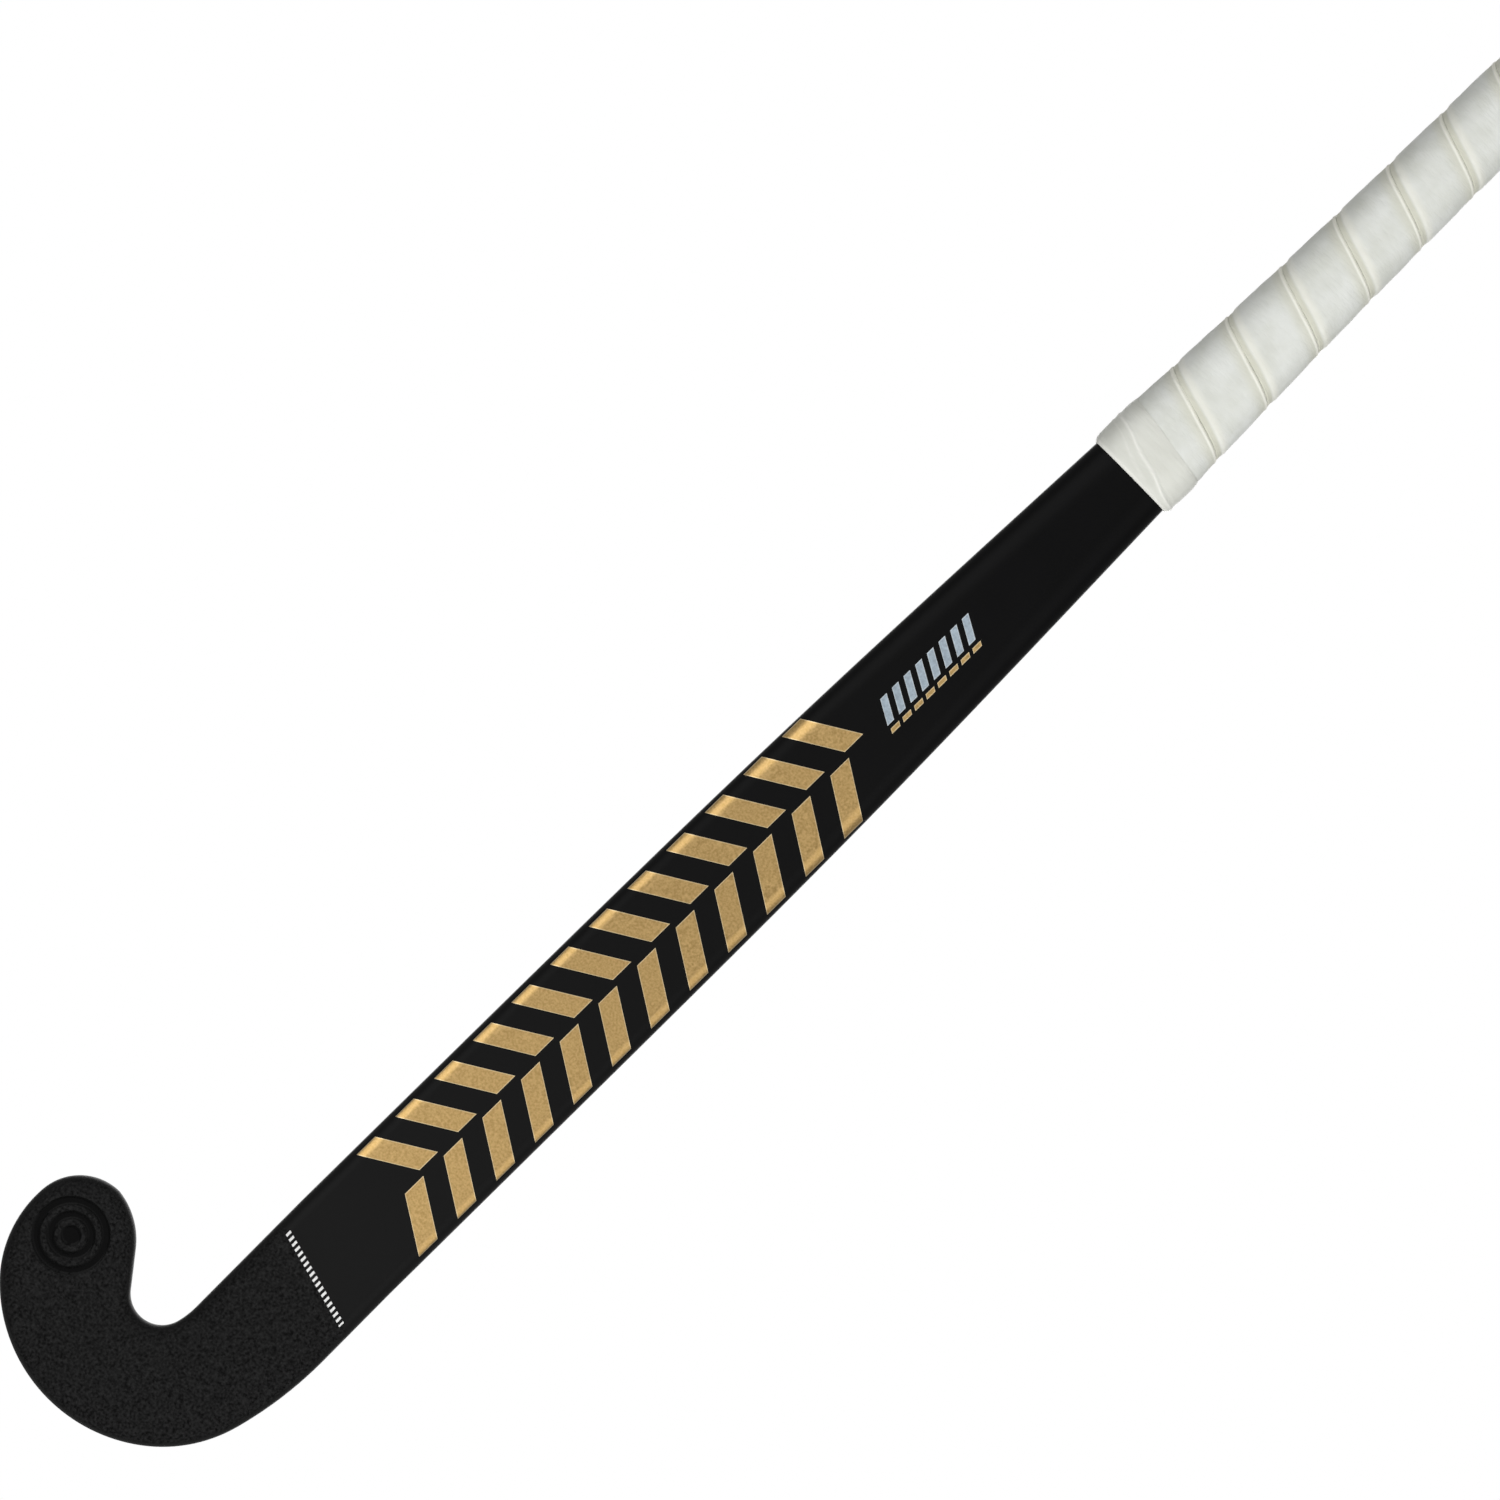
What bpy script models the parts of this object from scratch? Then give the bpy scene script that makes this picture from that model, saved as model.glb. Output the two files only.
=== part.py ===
"""Indoor hockey stick: a hollow laminate body, foam in its head, twin tubes, a wound grip and a cap.

Lengths are metres. +Z runs up the stick from the head to the butt, -Y is the flat hitting side,
-X is the side of the toe and +X the side of the heel. Heights are measured from the lowest point
of the head, and the finished stick is lowered so that the middle of the grip is the origin.
"""

import math

import bmesh
import bpy
import numpy as np

# Overall sizes
OVERALL_LENGTH = 0.927
HAND_HEIGHT = 0.735
CLEARANCE = 0.0003

# Body in plan: a straight shaft that narrows to the handle
SHAFT_WIDTH = 0.0488
HANDLE_WIDTH = 0.0265
TAPER_START = 0.375
TAPER_END = 0.654
TAPER_SOFTNESS = 0.043

# Body in depth, either side of the seam line that runs round its edge
FACE_DEPTH = 0.0070
BACK_DEPTH = 0.0135
HANDLE_HALF_DEPTH = 0.01225
FACE_EDGE_ROUND = 0.0060
BACK_EDGE_ROUND = 0.0215
CREST_HALF_WIDTH = 0.0015

# Bow: the face leans back from the base, then curves over to the straight run up to the butt
HEAD_TILT = 0.115
BOW_START = 0.080
BOW_END = 0.310
HANDLE_TILT = -0.0312

# Head in plan: both edges start at the foot of the shaft and lean towards the heel
HEAD_TOP = 0.120
FOOT_LEAN = 0.7
HEEL_RUN = 0.036
HEEL_EASE_RADIUS = 0.1525
HEEL_EASE_TURN = 15.5
HEEL_BEND_RADIUS = 0.0565
HEEL_BEND_TURN = 37.5
BASE_BEND_RADIUS = 0.0630
BASE_BEND_TURN = 81.0
TOE_BACK_RADIUS = 0.0465
TOE_BACK_TURN = 50.5
TOE_TOP_RADIUS = 0.0215
TOE_TOP_TURN = 85.0
THROAT_RUN = 0.056
THROAT_EASE_RADIUS = 0.0335
THROAT_EASE_TURN = 14.5
THROAT_BEND_RADIUS = 0.0120
THROAT_BEND_TURN = 127.5
TOE_NECK_RUN = 0.0155
TOE_INNER_RADIUS = 0.0295
TOE_INNER_TURN = -45.5

# Where a line across the head meets its two edges, as shares of each edge's length from the shaft to
# the toe's tip: foot of the shaft, start of the throat, end of the throat, end of the neck, tip
THROAT_SHARES = (0.0, 0.43, 0.70, 0.82, 1.0)
HEEL_SHARES = (0.0, 0.205, 0.756, 0.84, 1.0)
ROWS_BETWEEN_SHARES = (4, 13, 3, 8)

# Laminate and what it holds
SHELL_WALL = 0.0019
PLY_THICKNESS = 0.0008
PLY_EDGE_MARGIN = 0.0045
TUBE_WALL = 0.0009
PLUG_LENGTH = 0.055
CAP_FLANGE_HEIGHT = 0.006
CAP_SPIGOT_LENGTH = 0.016
CAP_EDGE_ROUND = 0.0025

# Grip: a strip wound from the butt down, each turn lapped over the lower edge of the turn above
GRIP_FOOT = 0.542
GRIP_PITCH = 0.028
GRIP_LAP = 0.0026
GRIP_THICKNESS = 0.0016
GRIP_SKIVED_THICKNESS = 0.0005
GRIP_LAP_GAP = 0.00045
GRIP_LAP_EDGE = 0.0008
GRIP_CROWN = 0.0002
GRIP_SEAM_HEIGHT_ON_FACE = 0.571
GRIP_EDGE_STEP = 0.0008
GRIP_LAP_RAMP = 0.0016
GRIP_PRESSED_SHARE = 0.4
GRIP_PRESS_EASE = 0.006

# Finishing tape round the foot of the grip
TAPE_BELOW_GRIP = 0.004
TAPE_WIDTH = 0.020
TAPE_THICKNESS = 0.0005

# Points round the body's section
FACE_ROUND_STEPS = 5
BACK_ROUND_STEPS = 6
CAP_ROUND_STEPS = 4
STEPS_A_TURN = 2 + 2 * (FACE_ROUND_STEPS + BACK_ROUND_STEPS)

# Spacing of rows up the straight body, of points along the head's edges, of the grip section's points
# where its tapered ends bring them together, and of the points that its least gap is measured on
SHAFT_ROW = 0.032
PLAN_STEP = 0.0004
FEWEST_PLAN_STEPS = 4
GRIP_POINT_SPREAD = 0.0001
GAP_SAMPLE_STEP = 0.0001

# The middle of the face, as a share of a turn from the heel edge round by the back
FACE_SHARE_OF_TURN = 0.75


def soft_ramp(height):
    """Return a straight ramp from 0 at the taper's start to 1 at its end, with both corners softened."""
    from_start = math.log1p(math.exp((height - TAPER_START) / TAPER_SOFTNESS))
    from_end = math.log1p(math.exp((height - TAPER_END) / TAPER_SOFTNESS))
    return (from_start - from_end) * TAPER_SOFTNESS / (TAPER_END - TAPER_START)


def smooth_blend(height):
    """Return 0 for the shaft's section and 1 for the handle's, changing over along the taper."""
    foot = soft_ramp(HEAD_TOP)
    return max(0.0, (soft_ramp(height) - foot) / (1.0 - foot))


def mix(low, high, share):
    """Return the value a share of the way from low to high."""
    return low + (high - low) * share


def half_width(height):
    """Return half the body's width at a height on the straight shaft or handle."""
    return 0.5 * mix(SHAFT_WIDTH, HANDLE_WIDTH, smooth_blend(height))


def bow(height):
    """Return how far the face lies behind the line through the base: straight, curved, straight."""
    curve_length = BOW_END - BOW_START
    along = min(max(height - BOW_START, 0.0), curve_length)
    tilt_change = (HANDLE_TILT - HEAD_TILT) / curve_length
    before = HEAD_TILT * min(height, BOW_START)
    within = HEAD_TILT * along + 0.5 * tilt_change * along * along
    after = HANDLE_TILT * max(height - BOW_END, 0.0)
    return before + within + after


def seam_line(height):
    """Return the y of the seam round the body's edge, which the face lies FACE_DEPTH in front of."""
    blend = smooth_blend(height)
    return bow(height) + mix(FACE_DEPTH, HANDLE_HALF_DEPTH, blend)


def world_y(height, offset):
    """Return the y of a point that lies offset behind the seam line, with the grip's middle at 0."""
    return seam_line(height) - seam_line(HAND_HEIGHT) + offset


def section_sizes(height, width_half, inset):
    """Return the face depth, back depth and both edge rounds of the section, drawn in by inset."""
    blend = smooth_blend(height)
    limit = width_half - CREST_HALF_WIDTH
    face_depth = mix(FACE_DEPTH, HANDLE_HALF_DEPTH, blend) - inset
    back_depth = mix(BACK_DEPTH, HANDLE_HALF_DEPTH, blend) - inset
    face_round = min(mix(FACE_EDGE_ROUND, limit, blend), limit) - inset
    back_round = min(mix(BACK_EDGE_ROUND, limit, blend), limit) - inset
    return face_depth, back_depth, face_round, back_round


def edge_profile(distance, edge_round):
    """Return the share of full depth at a distance in from the edge: a quarter round, then flat."""
    inner = 1.0 - min(max(distance / edge_round, 0.0), 1.0)
    return math.sqrt(max(0.0, 1.0 - inner * inner))


def round_steps(count):
    """Return the shares of an edge round at which its points lie, evenly by angle."""
    return [1.0 - math.cos(0.5 * math.pi * step / count) for step in range(1, count + 1)]


def walk_edge(start, heading, pieces):
    """Walk straight runs and bends from start, and return closely spaced points (x, height)."""
    point = np.array(start)
    angle = math.radians(heading)
    points = [point.copy()]
    for piece in pieces:
        if isinstance(piece, tuple):
            radius, turn = piece
            sweep = -math.radians(turn)
            side = math.copysign(1.0, sweep)
            centre = point + side * radius * np.array([-math.sin(angle), math.cos(angle)])
            count = max(FEWEST_PLAN_STEPS, int(abs(sweep) * radius / PLAN_STEP))
            arm = point - centre
            for step in range(1, count + 1):
                part = sweep * step / count
                turned = (arm[0] * math.cos(part) - arm[1] * math.sin(part),
                          arm[0] * math.sin(part) + arm[1] * math.cos(part))
                points.append(centre + np.array(turned))
            angle += sweep
        else:
            count = max(FEWEST_PLAN_STEPS, int(piece / PLAN_STEP))
            direction = np.array([math.cos(angle), math.sin(angle)])
            points.extend(point + direction * piece * step / count for step in range(1, count + 1))
        point = points[-1].copy()
    return np.array(points)


def head_edges(inset):
    """Return the throat edge and the heel edge from the shaft's foot to the toe's tip, drawn in."""
    foot = 0.5 * SHAFT_WIDTH - inset
    heading = FOOT_LEAN - 90.0
    heel = walk_edge((foot, HEAD_TOP), heading, [
        HEEL_RUN,
        (HEEL_EASE_RADIUS - inset, HEEL_EASE_TURN),
        (HEEL_BEND_RADIUS - inset, HEEL_BEND_TURN),
        (BASE_BEND_RADIUS - inset, BASE_BEND_TURN),
        (TOE_BACK_RADIUS - inset, TOE_BACK_TURN),
        (TOE_TOP_RADIUS - inset, TOE_TOP_TURN),
    ])
    throat = walk_edge((-foot, HEAD_TOP), heading, [
        THROAT_RUN,
        (THROAT_EASE_RADIUS + inset, THROAT_EASE_TURN),
        (THROAT_BEND_RADIUS + inset, THROAT_BEND_TURN),
        TOE_NECK_RUN,
        (TOE_INNER_RADIUS - inset, TOE_INNER_TURN),
    ])
    tip = 0.5 * (heel[-1] + throat[-1])
    for edge in (heel, throat):
        share = length_shares(edge)[:, None]
        edge += (tip - edge[-1]) * share ** 2
    return throat, heel


def length_shares(edge):
    """Return each point's share of the edge's length."""
    steps = np.hypot(*np.diff(edge, axis=0).T)
    lengths = np.concatenate([[0.0], np.cumsum(steps)])
    return lengths / lengths[-1]


def at_share(edge, share):
    """Return the point at a share of an edge's length."""
    shares = length_shares(edge)
    return np.array([np.interp(share, shares, edge[:, 0]), np.interp(share, shares, edge[:, 1])])


def row_shares():
    """Return the pairs of shares of the head's rows, closer together towards the tip."""
    pairs = []
    for index, rows in enumerate(ROWS_BETWEEN_SHARES):
        last = index == len(ROWS_BETWEEN_SHARES) - 1
        for row in range(rows):
            along = row / rows
            along = math.sin(0.5 * math.pi * along) if last else along
            pairs.append((mix(THROAT_SHARES[index], THROAT_SHARES[index + 1], along),
                          mix(HEEL_SHARES[index], HEEL_SHARES[index + 1], along)))
    return pairs


def distance_to_edges(point, edges):
    """Return the shortest distance in plan from a point to the head's edges."""
    return min(float(np.hypot(*(edge - point).T).min()) for edge in edges)


def head_rows(inset):
    """Return the rings round the head's rows from the tip to the shaft's foot, and the tip itself."""
    throat, heel = head_edges(inset)
    rings = []
    for throat_share, heel_share in row_shares():
        rings.append(head_ring(at_share(throat, throat_share), at_share(heel, heel_share),
                               (throat, heel), inset))
    tip = throat[-1]
    tip_point = (tip[0], world_y(tip[1], 0.0), tip[1])
    return rings[::-1], tip_point


def head_ring(toe_side, heel_side, edges, inset):
    """Return one ring of points across the head, its depth set by the distance from the edge."""
    span = heel_side - toe_side
    width = float(np.hypot(*span))
    across = span / width
    face_depth, back_depth, face_round, back_round = section_sizes(0.0, 0.5 * SHAFT_WIDTH, inset)
    room = 0.5 * width - CREST_HALF_WIDTH * width / SHAFT_WIDTH
    ring = []

    def add(plan, depth, edge_round):
        distance = distance_to_edges(plan, edges)
        offset = depth * edge_profile(distance, edge_round)
        ring.append((plan[0], world_y(plan[1], offset), plan[1]))

    face_reach = min(face_round, room)
    back_reach = min(back_round, room)
    face_steps = round_steps(FACE_ROUND_STEPS)
    back_steps = round_steps(BACK_ROUND_STEPS)
    ring.append((heel_side[0], world_y(heel_side[1], 0.0), heel_side[1]))
    for step in back_steps:
        add(heel_side - across * back_reach * step, back_depth, back_round)
    for step in reversed(back_steps):
        add(toe_side + across * back_reach * step, back_depth, back_round)
    ring.append((toe_side[0], world_y(toe_side[1], 0.0), toe_side[1]))
    for step in face_steps:
        add(toe_side + across * face_reach * step, -face_depth, face_round)
    for step in reversed(face_steps):
        add(heel_side - across * face_reach * step, -face_depth, face_round)
    return ring


def straight_outline(height, offset):
    """Return the section's points (x, y) on the straight body, moved outward by offset."""
    outer_half = half_width(height)
    face_depth, back_depth, face_round, back_round = section_sizes(height, outer_half, -offset)
    half = outer_half + offset
    points = [(half, 0.0)]
    back = [(half - back_round * step, back_depth * edge_profile(step, 1.0))
            for step in round_steps(BACK_ROUND_STEPS)]
    face = [(half - face_round * step, -face_depth * edge_profile(step, 1.0))
            for step in round_steps(FACE_ROUND_STEPS)]
    points += back
    points += [(-x, y) for x, y in reversed(back)]
    points.append((-half, 0.0))
    points += [(-x, y) for x, y in face]
    points += list(reversed(face))
    return points


def straight_ring(height, offset):
    """Return one ring of points round the straight body at a height, moved outward by offset."""
    return [(x, world_y(height, y), height) for x, y in straight_outline(height, offset)]


def heights_between(low, high):
    """Return evenly spaced row heights from low to high, no further apart than a shaft row."""
    count = max(1, math.ceil((high - low) / SHAFT_ROW))
    return [mix(low, high, step / count) for step in range(count + 1)]


def add_loft(bm, rings, apex=None, start_cap=False, end_cap=False):
    """Join rings of equal length with faces, and close an end with a cap or with a fan to an apex."""
    rows = [[bm.verts.new(point) for point in ring] for ring in rings]
    for lower, upper in zip(rows, rows[1:]):
        for index in range(len(lower)):
            after = (index + 1) % len(lower)
            bm.faces.new((lower[index], lower[after], upper[after], upper[index]))
    if apex is not None:
        tip = bm.verts.new(apex)
        first = rows[0]
        for index in range(len(first)):
            bm.faces.new((first[(index + 1) % len(first)], first[index], tip))
    if start_cap:
        bm.faces.new(list(reversed(rows[0])))
    if end_cap:
        bm.faces.new(rows[-1])
    return rows


def join_ends(bm, first, second):
    """Join two rings with a flat band of faces, as at the mouth of a tube."""
    for index in range(len(first)):
        after = (index + 1) % len(first)
        bm.faces.new((first[index], first[after], second[after], second[index]))


def make_material(name, colour, roughness, metallic=0.0):
    """Return a Principled material of one colour."""
    material = bpy.data.materials.new(name)
    material.use_nodes = True
    shader = material.node_tree.nodes["Principled BSDF"]
    shader.inputs["Base Color"].default_value = (*colour, 1.0)
    shader.inputs["Roughness"].default_value = roughness
    shader.inputs["Metallic"].default_value = metallic
    material.diffuse_color = (*colour, 1.0)
    return material


def finish(bm, name, material, sharp_angle=40.0):
    """Turn a mesh under construction into a named, shaded object in the finished stick's place."""
    bmesh.ops.recalc_face_normals(bm, faces=bm.faces)
    bmesh.ops.translate(bm, verts=bm.verts, vec=(0.0, 0.0, -HAND_HEIGHT))
    mesh = bpy.data.meshes.new(name)
    bm.to_mesh(mesh)
    bm.free()
    mesh.shade_smooth()
    mesh.set_sharp_from_angle(angle=math.radians(sharp_angle))
    mesh.materials.append(material)
    part = bpy.data.objects.new(name, mesh)
    bpy.context.collection.objects.link(part)
    return part


def shell_top():
    """Return the height of the shell's open end, under the end cap's flange."""
    return OVERALL_LENGTH - CAP_FLANGE_HEIGHT - CLEARANCE


def body_rings(inset, top):
    """Return the rings from the toe's tip to a height, drawn in by inset, and the tip."""
    rings, tip = head_rows(inset)
    straight = heights_between(HEAD_TOP, top)
    return rings[:-1] + [straight_ring(height, -inset) for height in straight], tip


def make_outer_shell():
    """Make the laminate body: an outer and an inner skin, joined at the open butt."""
    bm = bmesh.new()
    outer_rings, outer_tip = body_rings(0.0, shell_top())
    inner_rings, inner_tip = body_rings(SHELL_WALL, shell_top())
    outer = add_loft(bm, outer_rings, apex=outer_tip)
    inner = add_loft(bm, inner_rings, apex=inner_tip)
    join_ends(bm, outer[-1], inner[-1])
    return finish(bm, "outer_shell", make_material("satin_black_laminate", (0.012, 0.012, 0.013), 0.35))


def bore_inset():
    """Return how far what the shell holds lies inside the shell's outer surface."""
    return SHELL_WALL + CLEARANCE


def ply_front():
    """Return how far the front of the impact ply lies in front of the seam line, as a negative y."""
    return bore_inset() - FACE_DEPTH


def make_impact_ply():
    """Make the reinforcing ply: a plate of the head's shape behind the flat of the face."""
    bm = bmesh.new()
    margin = FACE_EDGE_ROUND + PLY_EDGE_MARGIN
    throat, heel = head_edges(margin)
    front = ply_front()
    back = front + PLY_THICKNESS
    rings = []
    for throat_share, heel_share in row_shares():
        toe_side = at_share(throat, throat_share)
        heel_side = at_share(heel, heel_share)
        corners = ((heel_side, front), (heel_side, back), (toe_side, back), (toe_side, front))
        rings.append([(plan[0], world_y(plan[1], depth), plan[1]) for plan, depth in corners])
    add_loft(bm, rings[::-1], start_cap=True, end_cap=True)
    return finish(bm, "impact_ply", make_material("aramid_ply", (0.55, 0.42, 0.12), 0.6))


def make_head_core():
    """Make the foam core that fills the head behind the impact ply, up to the shaft's foot."""
    bm = bmesh.new()
    rings, tip = head_rows(bore_inset())
    core_front = ply_front() + PLY_THICKNESS + CLEARANCE
    held_back = [[(x, max(y, world_y(z, core_front)), z) for x, y, z in ring] for ring in rings]
    add_loft(bm, held_back, apex=tip, end_cap=True)
    return finish(bm, "head_core", make_material("core_foam", (0.62, 0.50, 0.30), 0.9))


def tube_ring(height, inset, rib_half, side):
    """Return one ring of a half-section tube: its side of the outline, closed along the rib."""
    outline = straight_outline(height, -inset)
    toe_half = slice(1 + BACK_ROUND_STEPS, 2 + 2 * BACK_ROUND_STEPS + FACE_ROUND_STEPS)
    half = outline[toe_half] if side < 0 else outline[toe_half.stop:] + outline[:toe_half.start]
    half = [(side * max(side * x, rib_half + CLEARANCE), y) for x, y in half]
    rib_x = side * rib_half
    closing = [(rib_x, half[-1][1]), (rib_x, half[0][1])]
    return [(x, world_y(height, y), height) for x, y in half + closing]


def make_inner_tube(name, side):
    """Make one of the twin tubes that fill the shaft side by side and form its central rib."""
    bm = bmesh.new()
    heights = heights_between(HEAD_TOP + CLEARANCE, plug_foot() - CLEARANCE)
    rib_half = 0.5 * CLEARANCE
    outer = add_loft(bm, [tube_ring(height, bore_inset(), rib_half, side) for height in heights])
    inner = add_loft(bm, [tube_ring(height, bore_inset() + TUBE_WALL, rib_half + TUBE_WALL, side)
                          for height in heights])
    join_ends(bm, outer[0], inner[0])
    join_ends(bm, outer[-1], inner[-1])
    return finish(bm, name, make_material(name + "_laminate", (0.03, 0.03, 0.032), 0.5))


def spigot_foot():
    """Return the height of the lower end of the end cap's spigot."""
    return shell_top() + CLEARANCE - CAP_SPIGOT_LENGTH


def plug_foot():
    """Return the height of the lower end of the handle plug."""
    return spigot_foot() - CLEARANCE - PLUG_LENGTH


def make_handle_plug():
    """Make the plug that closes the top of the hollow handle, under the end cap's spigot."""
    bm = bmesh.new()
    heights = heights_between(plug_foot(), plug_foot() + PLUG_LENGTH)
    add_loft(bm, [straight_ring(height, -bore_inset()) for height in heights], start_cap=True, end_cap=True)
    return finish(bm, "handle_plug", make_material("plug_foam", (0.55, 0.55, 0.52), 0.9))


def make_end_cap():
    """Make the rubber cap: a spigot in the shell, and a flange as wide as the grip, rounded on top."""
    bm = bmesh.new()
    flange_foot = shell_top() + CLEARANCE
    flange_reach = grip_outside()
    rings = [straight_ring(spigot_foot(), -bore_inset()), straight_ring(flange_foot, -bore_inset()),
             straight_ring(flange_foot, flange_reach)]
    for step in range(CAP_ROUND_STEPS + 1):
        angle = 0.5 * math.pi * step / CAP_ROUND_STEPS
        height = OVERALL_LENGTH - CAP_EDGE_ROUND * (1.0 - math.sin(angle))
        reach = flange_reach - CAP_EDGE_ROUND * (1.0 - math.cos(angle))
        rings.append(straight_ring_at(height, flange_foot, reach))
    add_loft(bm, rings, start_cap=True, end_cap=True)
    return finish(bm, "end_cap", make_material("black_rubber", (0.02, 0.02, 0.02), 0.7))


def straight_ring_at(height, outline_height, offset):
    """Return a ring at one height with the outline of another."""
    return [(x, world_y(outline_height, y), height) for x, y in straight_outline(outline_height, offset)]


def grip_outside():
    """Return how far the grip's outside stands off the body."""
    return CLEARANCE + GRIP_THICKNESS


def lap_inside():
    """Return how far the inside of a lap stands off the body, over the skived edge below it."""
    return CLEARANCE + GRIP_SKIVED_THICKNESS + GRIP_LAP_GAP


def tape_foot():
    """Return the height of the finishing tape's lower edge."""
    return GRIP_FOOT - TAPE_BELOW_GRIP


def tape_top():
    """Return the height of the finishing tape's upper edge."""
    return tape_foot() + TAPE_WIDTH


def pressed_share(height):
    """Return the share of its thickness that the strip keeps: less where the finishing tape binds it."""
    along = min(max((height - tape_top()) / GRIP_PRESS_EASE, 0.0), 1.0)
    return mix(GRIP_PRESSED_SHARE, 1.0, along)


def pressed_outside():
    """Return how far the strip stands off the body at its thickest, under the finishing tape."""
    return mix(lap_inside(), grip_outside() + GRIP_CROWN, GRIP_PRESSED_SHARE)


def grip_inner(along, lapped):
    """Return the strip's inside, off the body, at a distance up from its lower edge."""
    ramp_start = GRIP_PITCH - GRIP_EDGE_STEP - GRIP_LAP_RAMP
    share = min(max((along - ramp_start) / GRIP_LAP_RAMP, 0.0), 1.0)
    return mix(CLEARANCE, lap_inside(), share * lapped)


def grip_outer(along):
    """Return the strip's outside, off the body, at a distance up from its lower edge."""
    skived_end = GRIP_LAP + GRIP_EDGE_STEP
    full_start = skived_end + GRIP_EDGE_STEP
    share = min(max((along - skived_end) / (full_start - skived_end), 0.0), 1.0)
    skived = CLEARANCE + GRIP_SKIVED_THICKNESS
    rise = min(max((along - full_start) / (GRIP_PITCH - full_start), 0.0), 1.0)
    edge = min(max((along - GRIP_PITCH) / GRIP_LAP, 0.0), 1.0)
    full = mix(grip_outside(), grip_outside() + GRIP_CROWN, rise)
    return mix(mix(skived, full, share), lap_inside() + GRIP_LAP_EDGE, edge)


def turn_shares():
    """Return the share of a turn at each point round the handle, evenly by length."""
    outline = straight_outline(HAND_HEIGHT, CLEARANCE)
    steps = [math.dist(a, b) for a, b in zip(outline, outline[1:] + outline[:1])]
    total = sum(steps)
    return [sum(steps[:index]) / total for index in range(len(outline))]


def grip_start_index(shares):
    """Return the point round the handle where the strip starts, so that its seams fall in place."""
    grip_top = shell_top()
    turns = (grip_top - GRIP_SEAM_HEIGHT_ON_FACE) / GRIP_PITCH
    wanted = (FACE_SHARE_OF_TURN - turns) % 1.0
    gaps = [min(abs(share - wanted), 1.0 - abs(share - wanted)) for share in shares]
    return gaps.index(min(gaps))


def grip_rings():
    """Return the rings of the wound strip, from its tapered start at the butt to its tapered end."""
    shares = turn_shares()
    start = grip_start_index(shares)
    grip_top = shell_top()
    width = GRIP_PITCH + GRIP_LAP
    lap_start = GRIP_PITCH - GRIP_EDGE_STEP
    skived_end = GRIP_LAP + GRIP_EDGE_STEP
    inner_marks = (0.0, lap_start - GRIP_LAP_RAMP, lap_start, width)
    outer_marks = (width, GRIP_PITCH, skived_end + GRIP_EDGE_STEP, skived_end, 0.0)
    turns_down = (grip_top - GRIP_LAP - GRIP_FOOT) / GRIP_PITCH
    count = int(round((turns_down + 1.0) * STEPS_A_TURN))
    rings = []
    for step in range(count + 1):
        index = (start + step) % STEPS_A_TURN
        turned = (start + step) // STEPS_A_TURN + shares[index] - shares[start]
        lower = grip_top - GRIP_LAP - GRIP_PITCH * turned
        first = max(GRIP_FOOT - lower, 0.0)
        last = min(grip_top - lower, width)
        lapped = 1.0 if step >= STEPS_A_TURN - 1 else 0.0
        ring = []
        for order, mark in enumerate(inner_marks):
            least = first + GRIP_POINT_SPREAD * order
            most = last - GRIP_POINT_SPREAD * (len(inner_marks) - 1 - order)
            along = min(max(mark, least), most)
            ring.append((lower + along, grip_inner(along, lapped)))
        for order, mark in enumerate(outer_marks):
            least = first + GRIP_POINT_SPREAD * (len(outer_marks) - 1 - order)
            most = last - GRIP_POINT_SPREAD * order
            along = min(max(mark, least), most)
            inside = grip_inner(along, lapped)
            ring.append((lower + along, mix(inside, grip_outer(along), pressed_share(lower + along))))
        rings.append([on_body(height, index, offset) for height, offset in ring])
    return rings


def on_body(height, index, offset):
    """Return the point of the body's ring at a height, moved outward by offset."""
    x, y = straight_outline(height, offset)[index]
    return (x, world_y(height, y), height)


def least_gap(rings):
    """Return the least distance between the strip and its own next turn, on points along its section."""
    least = math.inf
    for ring, later in zip(rings, rings[STEPS_A_TURN:]):
        least = min(least, point_set_gap(spaced_points(ring), spaced_points(later)))
    return least


def spaced_points(ring):
    """Return closely spaced points round a ring."""
    points = []
    for first, second in zip(ring, ring[1:] + ring[:1]):
        count = max(1, int(math.dist(first, second) / GAP_SAMPLE_STEP))
        points.extend(np.linspace(first, second, count, endpoint=False))
    return np.array(points)


def point_set_gap(first, second):
    """Return the least distance between two sets of points."""
    differences = first[:, None, :] - second[None, :, :]
    return float(np.sqrt((differences ** 2).sum(axis=2).min()))


def make_grip_tape():
    """Make the grip: one unbroken strip, wound down the handle from the butt."""
    bm = bmesh.new()
    rings = grip_rings()
    add_loft(bm, rings, start_cap=True, end_cap=True)
    print("grip tape: turns", round((len(rings) - 1) / STEPS_A_TURN, 2),
          "least gap to itself in mm", round(least_gap(rings) * 1000.0, 3))
    return finish(bm, "grip_tape", make_material("cushioned_grip", (0.72, 0.73, 0.69), 0.6))


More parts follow.
